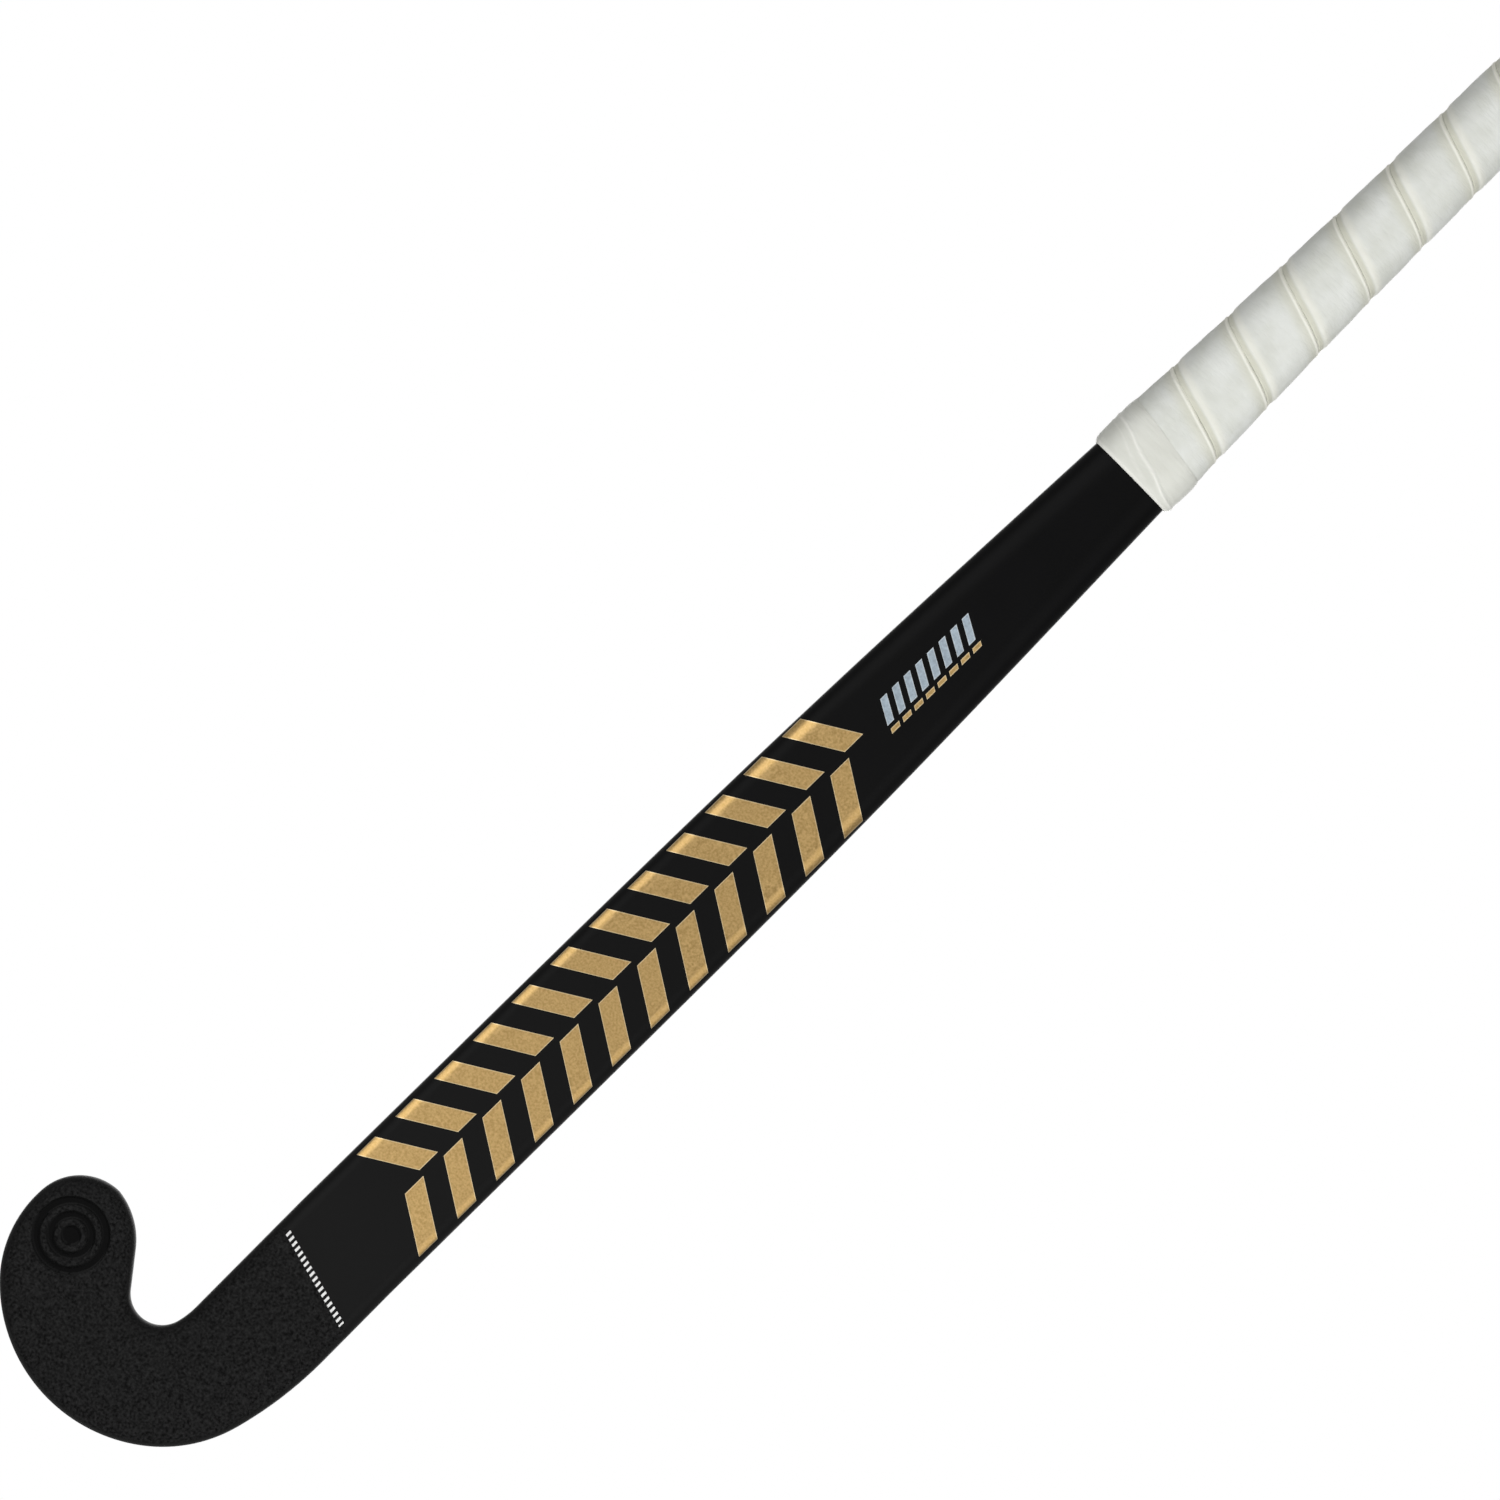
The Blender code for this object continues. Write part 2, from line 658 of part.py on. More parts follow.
def make_finishing_tape():
    """Make the tape collar: a thin sleeve that steps from the body out over the foot of the grip."""
    bm = bmesh.new()
    low = CLEARANCE
    high = pressed_outside() + CLEARANCE
    step_foot = GRIP_FOOT - CLEARANCE - (high - low)
    middle = 0.5 * (GRIP_FOOT + tape_top())
    inside = [(tape_foot(), low), (step_foot, low), (GRIP_FOOT - CLEARANCE, high), (middle, high),
              (tape_top(), high)]
    inner = [straight_ring(height, offset) for height, offset in inside]
    outer = [straight_ring(height, offset + TAPE_THICKNESS) for height, offset in inside]
    inner_rows = add_loft(bm, inner)
    outer_rows = add_loft(bm, outer)
    join_ends(bm, inner_rows[0], outer_rows[0])
    join_ends(bm, inner_rows[-1], outer_rows[-1])
    return finish(bm, "finishing_tape", make_material("white_tape", (0.85, 0.85, 0.82), 0.45))


def main():
    """Remove what the scene holds and make every piece of the stick."""
    for leftover in list(bpy.data.objects):
        bpy.data.objects.remove(leftover, do_unlink=True)
    make_outer_shell()
    make_impact_ply()
    make_head_core()
    make_inner_tube("inner_tube_toe", -1.0)
    make_inner_tube("inner_tube_heel", 1.0)
    make_handle_plug()
    make_end_cap()
    make_grip_tape()
    make_finishing_tape()


main()
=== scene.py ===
"""Looks of the indoor hockey stick: lacquered body, foil prints, wound cushioned grip, tape and cap.

Lengths are metres and +Z runs up the stick. Heights are measured from the lowest point of the head,
and every finished point is lowered by HAND_HEIGHT, as in the part. -Y is the flat hitting side, -X the
side of the toe and +X the side of the heel.
"""

import math

import bpy
import numpy as np
from mathutils import Matrix, Vector


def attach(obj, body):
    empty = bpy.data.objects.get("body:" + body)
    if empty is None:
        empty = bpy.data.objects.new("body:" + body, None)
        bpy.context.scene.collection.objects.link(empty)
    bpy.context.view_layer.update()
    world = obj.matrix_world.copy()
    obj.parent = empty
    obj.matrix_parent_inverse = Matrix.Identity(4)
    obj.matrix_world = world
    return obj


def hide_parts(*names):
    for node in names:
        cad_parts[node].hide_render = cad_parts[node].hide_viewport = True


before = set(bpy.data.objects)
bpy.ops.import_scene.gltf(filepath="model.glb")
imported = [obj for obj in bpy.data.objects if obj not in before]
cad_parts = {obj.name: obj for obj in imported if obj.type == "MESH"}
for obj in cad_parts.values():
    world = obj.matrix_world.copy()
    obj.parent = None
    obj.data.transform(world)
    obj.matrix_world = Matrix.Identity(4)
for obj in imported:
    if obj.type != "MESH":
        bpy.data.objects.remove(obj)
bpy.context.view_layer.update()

# Overall sizes, as in the part
OVERALL_LENGTH = 0.927
HAND_HEIGHT = 0.735
CLEARANCE = 0.0003

# Body in plan and in depth
SHAFT_WIDTH = 0.0488
HANDLE_WIDTH = 0.0265
TAPER_START = 0.375
TAPER_END = 0.654
TAPER_SOFTNESS = 0.043
FACE_DEPTH = 0.0070
BACK_DEPTH = 0.0135
HANDLE_HALF_DEPTH = 0.01225
FACE_EDGE_ROUND = 0.0060
BACK_EDGE_ROUND = 0.0215
CREST_HALF_WIDTH = 0.0015
HEAD_TILT = 0.115
BOW_START = 0.080
BOW_END = 0.310
HANDLE_TILT = -0.0312
SHELL_WALL = 0.0019

# Head in plan: straight runs as (length, 0) and bends as (radius, clockwise turn in degrees)
HEAD_TOP = 0.120
FOOT_LEAN = 0.7
HEEL_PATH = ((0.036, 0.0), (0.1525, 15.5), (0.0565, 37.5),
             (0.0630, 81.0), (0.0465, 50.5), (0.0215, 85.0))
THROAT_PATH = ((0.056, 0.0), (0.0335, 14.5), (0.0120, 127.5), (0.0155, 0.0), (0.0295, -45.5))
PLAN_STEP = 0.0004
LEAST_BEND_STEPS = 4

# Shares of the two edges' lengths that lie across from each other, and the rows of chords between them
THROAT_SHARES = (0.0, 0.43, 0.70, 0.82, 1.0)
HEEL_SHARES = (0.0, 0.205, 0.756, 0.84, 1.0)
SKIN_ROWS = (14, 60, 34, 100)
WALL_ROWS = (4, 16, 6, 18)

# Points round a section: steps in each back round, across the back, in each face round, across the face
SKIN_STEPS = (20, 2, 14, 104)
GRIP_STEPS = (26, 2, 26, 2)
TAPE_STEPS = (48, 4, 48, 4)

# Height of a row of the shaft's outer skin and of its inner wall
SKIN_ROW = 0.008
WALL_ROW = 0.032

# Plain rings pressed into the face of the toe: (inner, outer) radius of each
MARK_CENTRE = (-0.0764, 0.0495)
MARK_RINGS = ((0.0, 0.0036), (0.0066, 0.0090), (0.0120, 0.0146))
MARK_DEPTH = 0.0006
MARK_SLOPE = 0.0006

# Line across the face below which the head has its grit coat: height at x = 0 and rise per metre of x.
# The coat thins out over a band of distance from the edge of the face, a painted shade that leaves the edge
# darker.
COAT_LINE_HEIGHT = 0.10375
COAT_LINE_RISE = -0.256
COAT_LINE_SOFTNESS = 0.0003
COAT_EDGE_SHADE_BAND = (0.0008, 0.0024)

# Heights between which a painted light on the lacquer fades, from its greyest at the head to clear black
LACQUER_PAINTED_LIGHT_LOW = 0.12
LACQUER_PAINTED_LIGHT_HIGH = 0.50

# Wound grip: a strip wound from the butt down, each turn lapped over the lower edge of the turn above
GRIP_FOOT = 0.542
GRIP_PITCH = 0.028
GRIP_LAP = 0.0026
GRIP_WIDTH = GRIP_PITCH + GRIP_LAP
GRIP_SEAM_HEIGHT_ON_FACE = 0.5726
GRIP_LEVELS = 60
GRIP_POINT_SPREAD = 0.00002

# Distances of the strip's surfaces off the body, and how much its edge and creases differ from them
GRIP_SKIVED_OUTSIDE = 0.00105
GRIP_LAP_INSIDE = 0.00125
GRIP_GROOVE_OUTSIDE = 0.00162
GRIP_FULL_OUTSIDE = 0.00206
GRIP_EDGE_DIP = 0.00020
GRIP_EDGE_LIP = 0.00014
GRIP_EDGE_ROUND = 0.00045
GRIP_CREASE_DEPTH = 0.00006
GRIP_PRESSED_SHARE = 0.4

# Runs of points across the strip as (from, to, count), and bands across it as (from, to), in distance from
# its lower edge
GRIP_POINTS = ((0.0, GRIP_LAP, 3), (0.0029, 0.0074, 15), (0.0090, 0.0280, 14), (0.0285, GRIP_WIDTH, 9))
GRIP_SKIVE_BAND = (GRIP_LAP, 0.0029)
GRIP_SHOULDER_BAND = (0.0045, 0.0070)
GRIP_DIP_BAND = (0.0200, 0.0284)
GRIP_LIP_BAND = (0.0287, 0.0295)
GRIP_ROUND_BAND = (0.0298, GRIP_WIDTH)
GRIP_LAP_BAND = (GRIP_PITCH - 0.0020, GRIP_PITCH - 0.0002)
GRIP_CREASED_BANDS = ((0.0062, 0.0100), (0.0260, 0.0295))
# Khaki is the skived strip's own tone, and also painted shade in the groove and on the dip before the upper
# edge
KHAKI_SHADE_GROOVE_BAND = (0.0044, 0.0058)
KHAKI_SHADE_EDGE_BAND = (0.0235, 0.0284)
KHAKI_SHADE_EDGE_SHARE = 0.75
# Cream is the slit edge's paler tone with a painted highlight, and a painted highlight alone on the shoulder
# rising from the groove
CREAM_HIGHLIGHT_EDGE_BAND = (0.0288, 0.0296)
HIGHLIGHT_SHOULDER_BANDS = ((0.0048, 0.0060), (0.0066, 0.0096))
HIGHLIGHT_SHOULDER_SHARE = 0.5

# The sines of the creases: height, waves in a turn, waves in a pitch, and size and speed of their sway
GRIP_CREASES = ((0.40, 2.3, 1.1, 0.2, 4.1), (0.35, 5.7, -2.2, 0.4, 1.7), (0.25, 9.1, 3.3, 0.0, 0.0))

# The grip swells in a bell about the tape's upper edge, and is pressed flat from a band below that edge down
TAPE_SWELL = 0.00011
TAPE_SWELL_REACH = 0.0060
TAPE_PRESS_BAND = (-0.0022, -0.0004)

# Tape collar over the foot of the grip, the rise of its upper edge per metre of x, and its fine rows
TAPE_FOOT = 0.538
TAPE_WIDTH = 0.0200
TAPE_TOP_RISE = -0.154
TAPE_FINE_FROM = 0.003
TAPE_FINE_ROWS = 72

# The tape's outside from its foot up and its inside from the top down: height on the tape, and off the body
TAPE_OUTSIDE = ((0.0, 0.00050), (0.0003, 0.00085), (0.0008, 0.00128), (0.0016, 0.00172),
                (0.0030, 0.00203), (0.0050, 0.00217), (0.0090, 0.00240), (0.0130, 0.00262),
                (0.0165, 0.00264), (0.0180, 0.00258), (0.0190, 0.00244), (0.0200, 0.00228))
TAPE_INSIDE = ((TAPE_WIDTH, 0.00221), (0.0120, 0.00204), (0.0040, 0.00186), (0.0024, 0.00060),
               (0.0, CLEARANCE))
# Band at the tape's cut foot that is painted paler, as a painted highlight
TAPE_CUT_HIGHLIGHT_BAND = (0.0007, 0.0015)

# The tape's main crease line, with its rise per metre of x and its small waves, and how far the second one
# drops below it at an x and falls away with x. Ridges and troughs are bells across the two lines, each
# as (share, middle, width).
TAPE_CREASE_HEIGHT = 0.5461
TAPE_CREASE_RISE = -0.324
TAPE_CREASE_WAVE = 0.0004
TAPE_CREASE_WAVELENGTH = 0.0027
TAPE_SECOND_DROP = 0.0036
TAPE_SECOND_FALL = 0.05
TAPE_SECOND_X = -0.012
TAPE_CREASED_BANDS = ((0.0010, 0.0035), (0.0150, 0.0185))
TAPE_RIDGES = ((1.0, 0.0, 0.0006), (0.4, 0.0, 0.0005))
TAPE_TROUGHS = ((1.0, 0.0018, 0.0011), (0.3, 0.0010, 0.0007))
TAPE_RIDGE_HEIGHT = 0.00026
TAPE_TROUGH_DEPTH = 0.00014

# Butt cap; the last line gives the rings of its flat top as shares of the rim's size
CAP_FLANGE_HEIGHT = 0.006
CAP_SPIGOT_LENGTH = 0.016
CAP_EDGE_ROUND = 0.0025
CAP_REACH = 0.0019
CAP_ROUND_STEPS = 12
CAP_TOP_SHARES = (0.97, 0.8, 0.6, 0.4, 0.2)

# Prints: how far they stand off the lacquer and reach into it, the grid of a print and its sharp angle
PRINT_PROUD = 0.00007
PRINT_SUNK = 0.00006
# Width of a print's border band, which is painted paler as a painted highlight
HIGHLIGHT_RIM_WIDTH = 0.00042
PRINT_COLUMN = 0.0008
PRINT_ROW = 0.003
PRINT_SHARP = 50.0

# Rows of bars as (low x, high x, lowest start, rise with x, thickness, spacing, count)
TOE_SIDE_BARS = (-0.0222, -0.0013, 0.1478, 0.62, 0.0098, 0.0206, 12)
HEEL_SIDE_BARS = (0.0013, 0.0222, 0.1505, -0.62, 0.0098, 0.0206, 12)
BADGE_BARS = (-0.0062, 0.0030, 0.4110, -0.55, 0.0034, 0.0062, 8)
BADGE_DASHES = (0.0046, 0.0064, 0.4060, -0.55, 0.0044, 0.0062, 8)

# Ticks along the grit coat's line: x of the first and the last, their count, width and height
TICK_ENDS = (-0.0194, 0.0214)
TICK_COUNT = 20
TICK_WIDTH = 0.0010
TICK_HEIGHT = 0.0024

# Sizes and depths of surface patterns. The grit, the foil's stipple, the ink's mesh and the grip's pores are
# 0.1 to 0.4 mm on the real stick and are drawn about three times as coarse, so that they show in the picture.
GRIT_SIZE = 0.0011
GRIT_DEPTH = 0.00036
STIPPLE_SIZE = 0.0009
STIPPLE_DEPTH = 0.00003
INK_MESH_SIZE = 0.0006
GRIP_PORE_SIZE = 0.0006
GRIP_PORE_DEPTH = 0.00003
LACQUER_CLOUD_SIZE = 0.020
ORANGE_PEEL_SIZE = 0.006
ORANGE_PEEL_DEPTH = 0.00002
GRIP_SMUDGE_SIZE = 0.012
GRIP_PUCKER_SIZE = 0.005
GRIP_PUCKER_DEPTH = 0.00044
TAPE_SMUDGE_SIZE = 0.009
TAPE_STRETCH_SIZE = 0.004
TAPE_STRETCH_DEPTH = 0.00035

# Turn and stretch of the patterns that are drawn out along the winding
GRIP_DRAW_TURN = (0.0, 0.25, 0.0)
GRIP_DRAW_SCALE = (0.5, 0.5, 1.5)
TAPE_DRAW_TURN = (0.0, 0.30, 0.0)
TAPE_DRAW_SCALE = (0.4, 0.4, 2.0)

# Studio: what the lamps point at, and the level of the world as a light and where it is mirrored
LIT_POINT = (0.0, 0.0, -0.35)
WORLD_LIGHT = 0.20
WORLD_MIRRORED = 0.38

# Camera: its place, the x and z of its right-hand side, the picture's width and the film's in millimetres
CAMERA_PLACE = (-0.0271, -6.0, -0.3728)
CAMERA_RIGHT = (0.70091, 0.71325)
PICTURE_WIDTH = 0.570
FILM_WIDTH = 36.0

# Floor, with the level by which it glows for the camera
FLOOR_RADIUS = 1.8
FLOOR_HEIGHT = -2.6
FLOOR_STEPS = 64
FLOOR_GLOW = 0.5


def soft_ramp(height):
    """Straight ramp from 0 at the taper's start to 1 at its end, corners softened by log(1 + exp)."""
    rise = np.logaddexp(0.0, (height - TAPER_START) / TAPER_SOFTNESS)
    fall = np.logaddexp(0.0, (height - TAPER_END) / TAPER_SOFTNESS)
    return (rise - fall) * TAPER_SOFTNESS / (TAPER_END - TAPER_START)


def handle_share(height):
    """The ramp, lowered to be exactly 0 at the shaft's foot and below."""
    foot = soft_ramp(HEAD_TOP)
    return np.maximum(0.0, (soft_ramp(height) - foot) / (1.0 - foot))


def mix(low, high, share):
    """The value a share of the way from low to high."""
    return low + (high - low) * share


def smooth_step(value, low, high):
    """0 below low, 1 above high, and 3s^2 - 2s^3 between, where s is the share of the way."""
    share = np.clip((value - low) / (high - low), 0.0, 1.0)
    return share * share * (3.0 - 2.0 * share)


def half_width(height):
    """Half the body's width on the straight shaft and handle."""
    return 0.5 * mix(SHAFT_WIDTH, HANDLE_WIDTH, handle_share(height))


def seam_y(height):
    """y of the seam line: a straight lean, a parabola between the bow's ends, and a straight lean."""
    along = np.clip(height - BOW_START, 0.0, BOW_END - BOW_START)
    change = (HANDLE_TILT - HEAD_TILT) / (BOW_END - BOW_START)
    bow = (HEAD_TILT * np.minimum(height, BOW_START) + HEAD_TILT * along + 0.5 * change * along * along
           + HANDLE_TILT * np.maximum(height - BOW_END, 0.0))
    return bow + mix(FACE_DEPTH, HANDLE_HALF_DEPTH, handle_share(height))


SEAM_AT_HAND = seam_y(HAND_HEIGHT)


def placed(x, offset, height):
    """Points (x, seam line + offset, height) in the finished stick's place, as one array."""
    x, offset, height = np.broadcast_arrays(x, offset, height)
    return np.stack([x, seam_y(height) - SEAM_AT_HAND + offset, height - HAND_HEIGHT], axis=-1)


def section_sizes(height, rise, offset):
    """Depth and edge round of the face where rise is negative, and of the back elsewhere, plus offset."""
    share = handle_share(height)
    limit = half_width(height) - CREST_HALF_WIDTH
    on_face = rise < 0.0
    depth = mix(np.where(on_face, FACE_DEPTH, BACK_DEPTH), HANDLE_HALF_DEPTH, share)
    edge_round = mix(np.where(on_face, FACE_EDGE_ROUND, BACK_EDGE_ROUND), limit, share)
    return depth + offset, np.minimum(edge_round, limit) + offset


def around(steps):
    """Marks round a section, from the heel edge by the back: across, turn and rise.

    Across is -1 to 1, and turn and rise are the cosine and sine of the angle in the edge's round."""
    back_round, back_flat, face_round, face_flat = steps
    back = np.linspace(0.0, 0.5 * math.pi, back_round + 1)
    face = np.linspace(0.0, 0.5 * math.pi, face_round + 1)
    over = np.linspace(1.0, -1.0, back_flat + 1)[1:-1]
    under = np.linspace(-1.0, 1.0, face_flat + 1)[1:-1]
    runs = [(1.0, np.cos(back), np.sin(back)), (over, 0.0, 1.0),
            (-1.0, -np.cos(back[::-1]), np.sin(back[::-1])), (-1.0, -np.cos(face[1:]), -np.sin(face[1:])),
            (under, 0.0, -1.0), (1.0, np.cos(face[:0:-1]), -np.sin(face[:0:-1]))]
    return np.concatenate([np.stack(np.broadcast_arrays(*np.atleast_1d(*run)), 1) for run in runs]).T


def body_points(height, offset, marks):
    """Straight body: x = across (half - round) + turn round and depth = rise depth, grown by offset."""
    across, turn, rise = marks
    depth, edge_round = section_sizes(height, rise, offset)
    x = across * (half_width(height) + offset - edge_round) + turn * edge_round
    return placed(x, rise * depth, height)


def walk_edge(start, heading, path, inset):
    """Runs and bends end to end: a bend is radius times (sine, 1 - cosine) of the part turned."""
    point = np.array(start)
    angle = math.radians(heading)
    points = [point[None]]
    for size, turn in path:
        if turn:
            radius = size + inset * math.copysign(1.0, turn)
            count = max(LEAST_BEND_STEPS, int(abs(math.radians(turn)) * radius / PLAN_STEP))
            part = math.radians(-turn) * np.arange(1, count + 1) / count
            local = radius * np.stack([np.sin(abs(part)), np.sign(part) * (1.0 - np.cos(part))], 1)
        else:
            part = np.zeros(1)
            local = size * np.array([[0.5, 0.0], [1.0, 0.0]])
        spin = np.array([[math.cos(angle), math.sin(angle)], [-math.sin(angle), math.cos(angle)]])
        points.append(point + local @ spin)
        point = points[-1][-1]
        angle += part[-1]
    return np.concatenate(points)


def length_shares(edge):
    """Each point's share of a line's length."""
    lengths = np.concatenate([[0.0], np.cumsum(np.hypot(*np.diff(edge, axis=0).T))])
    return lengths / lengths[-1]


def head_edges(inset):
    """The throat edge and the heel edge, their small miss at the tip spread by the share squared."""
    foot = 0.5 * SHAFT_WIDTH - inset
    heel = walk_edge((foot, HEAD_TOP), FOOT_LEAN - 90.0, HEEL_PATH, -inset)
    throat = walk_edge((-foot, HEAD_TOP), FOOT_LEAN - 90.0, THROAT_PATH, inset)
    tip = 0.5 * (heel[-1] + throat[-1])
    return [edge + (tip - edge[-1]) * length_shares(edge)[:, None] ** 2 for edge in (throat, heel)]


def at_share(edge, share):
    """Points at shares of a line's length."""
    shares = length_shares(edge)
    return np.stack([np.interp(share, shares, edge[:, axis]) for axis in (0, 1)], axis=1)


def edge_distance(plan, edge):
    """Shortest distance from plan points to a line, over the two pieces beside its nearest point."""
    nearest = np.argmin(((plan[:, None] - edge[None]) ** 2).sum(axis=2), axis=1)
    best = np.full(len(plan), np.inf)
    for shift in (-1, 0):
        low = np.clip(nearest + shift, 0, len(edge) - 2)
        piece = edge[low + 1] - edge[low]
        share = ((plan - edge[low]) * piece).sum(axis=1) / (piece ** 2).sum(axis=1)
        foot = edge[low] + piece * np.clip(share, 0.0, 1.0)[:, None]
        best = np.minimum(best, np.hypot(*(plan - foot).T))
    return best


def pressed_share(plan):
    """1 inside the rings pressed into the toe, 0 outside them, with sloped sides."""
    radius = np.hypot(plan[:, 0] - MARK_CENTRE[0], plan[:, 1] - MARK_CENTRE[1])
    share = np.zeros(len(plan))
    for inner, outer in MARK_RINGS:
        rise = smooth_step(radius, inner - MARK_SLOPE, inner) if inner else 1.0
        share += rise * (1.0 - smooth_step(radius, outer, outer + MARK_SLOPE))
    return share


def head_points(inset, marks, rows, mark_depth):
    """Chords between the head's edges; depth is a quarter round of the distance from the nearer edge.

    Returns the rings, the tip, and the shares by which each point is pressed in and gritted, the grit fading
    near the edge as a painted shade."""
    across, turn, rise = marks
    throat, heel = head_edges(inset)
    shares = []
    for index, count in enumerate(rows):
        along = np.arange(count) / count
        along = np.sin(0.5 * math.pi * along) if index == len(rows) - 1 else along
        shares.append(np.stack([mix(ends[index], ends[index + 1], along)
                                for ends in (THROAT_SHARES, HEEL_SHARES)], 1))
    shares = np.concatenate(shares)[:0:-1]
    depth, edge_round = section_sizes(0.0, rise, -inset)
    rings, presses, grit_with_edge_shades = [], [], []
    for toe_side, heel_side in zip(at_share(throat, shares[:, 0]), at_share(heel, shares[:, 1])):
        width = np.hypot(*(heel_side - toe_side))
        reach = np.minimum(edge_round, (0.5 - CREST_HALF_WIDTH / SHAFT_WIDTH) * width)
        chord = across * (0.5 * width - reach) + turn * reach
        plan = 0.5 * (toe_side + heel_side) + chord[:, None] * (heel_side - toe_side) / width
        distance = np.minimum(edge_distance(plan, throat), edge_distance(plan, heel))
        inner = 1.0 - np.clip(distance / edge_round, 0.0, 1.0)
        offset = np.sign(rise) * depth * np.sqrt(np.maximum(0.0, 1.0 - inner ** 2))
        offset = np.where(np.abs(rise) < 1e-9, 0.0, offset)
        press = np.where(rise < 0.0, pressed_share(plan), 0.0)
        # Painted shade: the grit fades out near the face's edge, so that the edge renders darker
        grit_with_edge_shade_share = np.where(rise < 0.0, smooth_step(distance, *COAT_EDGE_SHADE_BAND), 0.0) * (1.0 - press)
        rings.append(placed(plan[:, 0], offset + press * mark_depth, plan[:, 1]))
        presses.append(press)
        grit_with_edge_shades.append(grit_with_edge_shade_share)
    tip = placed(throat[-1, 0], 0.0, throat[-1, 1])
    return np.array(rings), tip, np.array(presses), np.array(grit_with_edge_shades)


def loft(name, rings, low_pole=None, high_pole=None, wrap=False, sharp=40.0, attributes=None):
    """A mesh of rings, each joined to the next by four-sided faces.

    A pole closes an end with a fan, and wrap joins the last ring to the first. An attribute is one value a
    point, and 0 at the poles."""
    rows, count = rings.shape[:2]
    grid = np.arange(rows * count).reshape(rows, count)
    low = grid if wrap else grid[:-1]
    high = np.roll(grid, -1, axis=0) if wrap else grid[1:]
    quads = np.stack([low, np.roll(low, -1, 1), np.roll(high, -1, 1), high], -1).reshape(-1, 4).tolist()
    points = [rings.reshape(-1, 3)]
    fans = []
    for pole, ring, turned in ((low_pole, grid[0], True), (high_pole, grid[-1], False)):
        if pole is None:
            continue
        tip = np.full(count, rows * count + len(points) - 1)
        after = np.roll(ring, -1)
        fans += np.stack([after, ring, tip] if turned else [ring, after, tip], 1).tolist()
        points.append(np.asarray(pole).reshape(1, 3))
    mesh = bpy.data.meshes.new(name)
    mesh.from_pydata(np.concatenate(points).tolist(), [], quads + fans)
    for key, values in (attributes or {}).items():
        layer = mesh.attributes.new(key, "FLOAT", "POINT")
        flat = np.zeros(len(mesh.vertices), np.float32)
        flat[:rows * count] = np.broadcast_to(values, (rows, count)).reshape(-1)
        layer.data.foreach_set("value", flat)
    mesh.shade_smooth()
    mesh.set_sharp_from_angle(angle=math.radians(sharp))
    piece = bpy.data.objects.new(name, mesh)
    bpy.context.scene.collection.objects.link(piece)
    return piece


def dress(piece, material, slot, *nodes):
    """Give a piece its material, the body it rides on and the nodes that it stands for. Its slot is not used.
    """
    piece.data.materials.append(material)
    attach(piece, "root")
    if nodes:
        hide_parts(*nodes)


# Materials

def colour(code):
    """An sRGB hex colour as linear red, green, blue and alpha."""
    values = [int(code[place:place + 2], 16) / 255.0 for place in (0, 2, 4)]
    return [v / 12.92 if v <= 0.04045 else ((v + 0.055) / 1.055) ** 2.4 for v in values] + [1.0]


def add(tree, kind, inputs=None, **settings):
    """Add one node with its settings, and a value or a link on each named or numbered input."""
    node = tree.nodes.new(kind)
    for name, value in settings.items():
        setattr(node, name, value)
    for name, value in (inputs or {}).items():
        if isinstance(value, bpy.types.NodeSocket):
            tree.links.new(value, node.inputs[name])
        else:
            node.inputs[name].default_value = value
    return node


def new_material(name, **constants):
    """A Principled material with constants on the shader's own sockets; returns it, its tree and shader."""
    material = bpy.data.materials.new(name)
    material.use_nodes = True
    shader = material.node_tree.nodes["Principled BSDF"]
    for socket, value in constants.items():
        shader.inputs[socket.replace("_", " ")].default_value = value
    return material, material.node_tree, shader


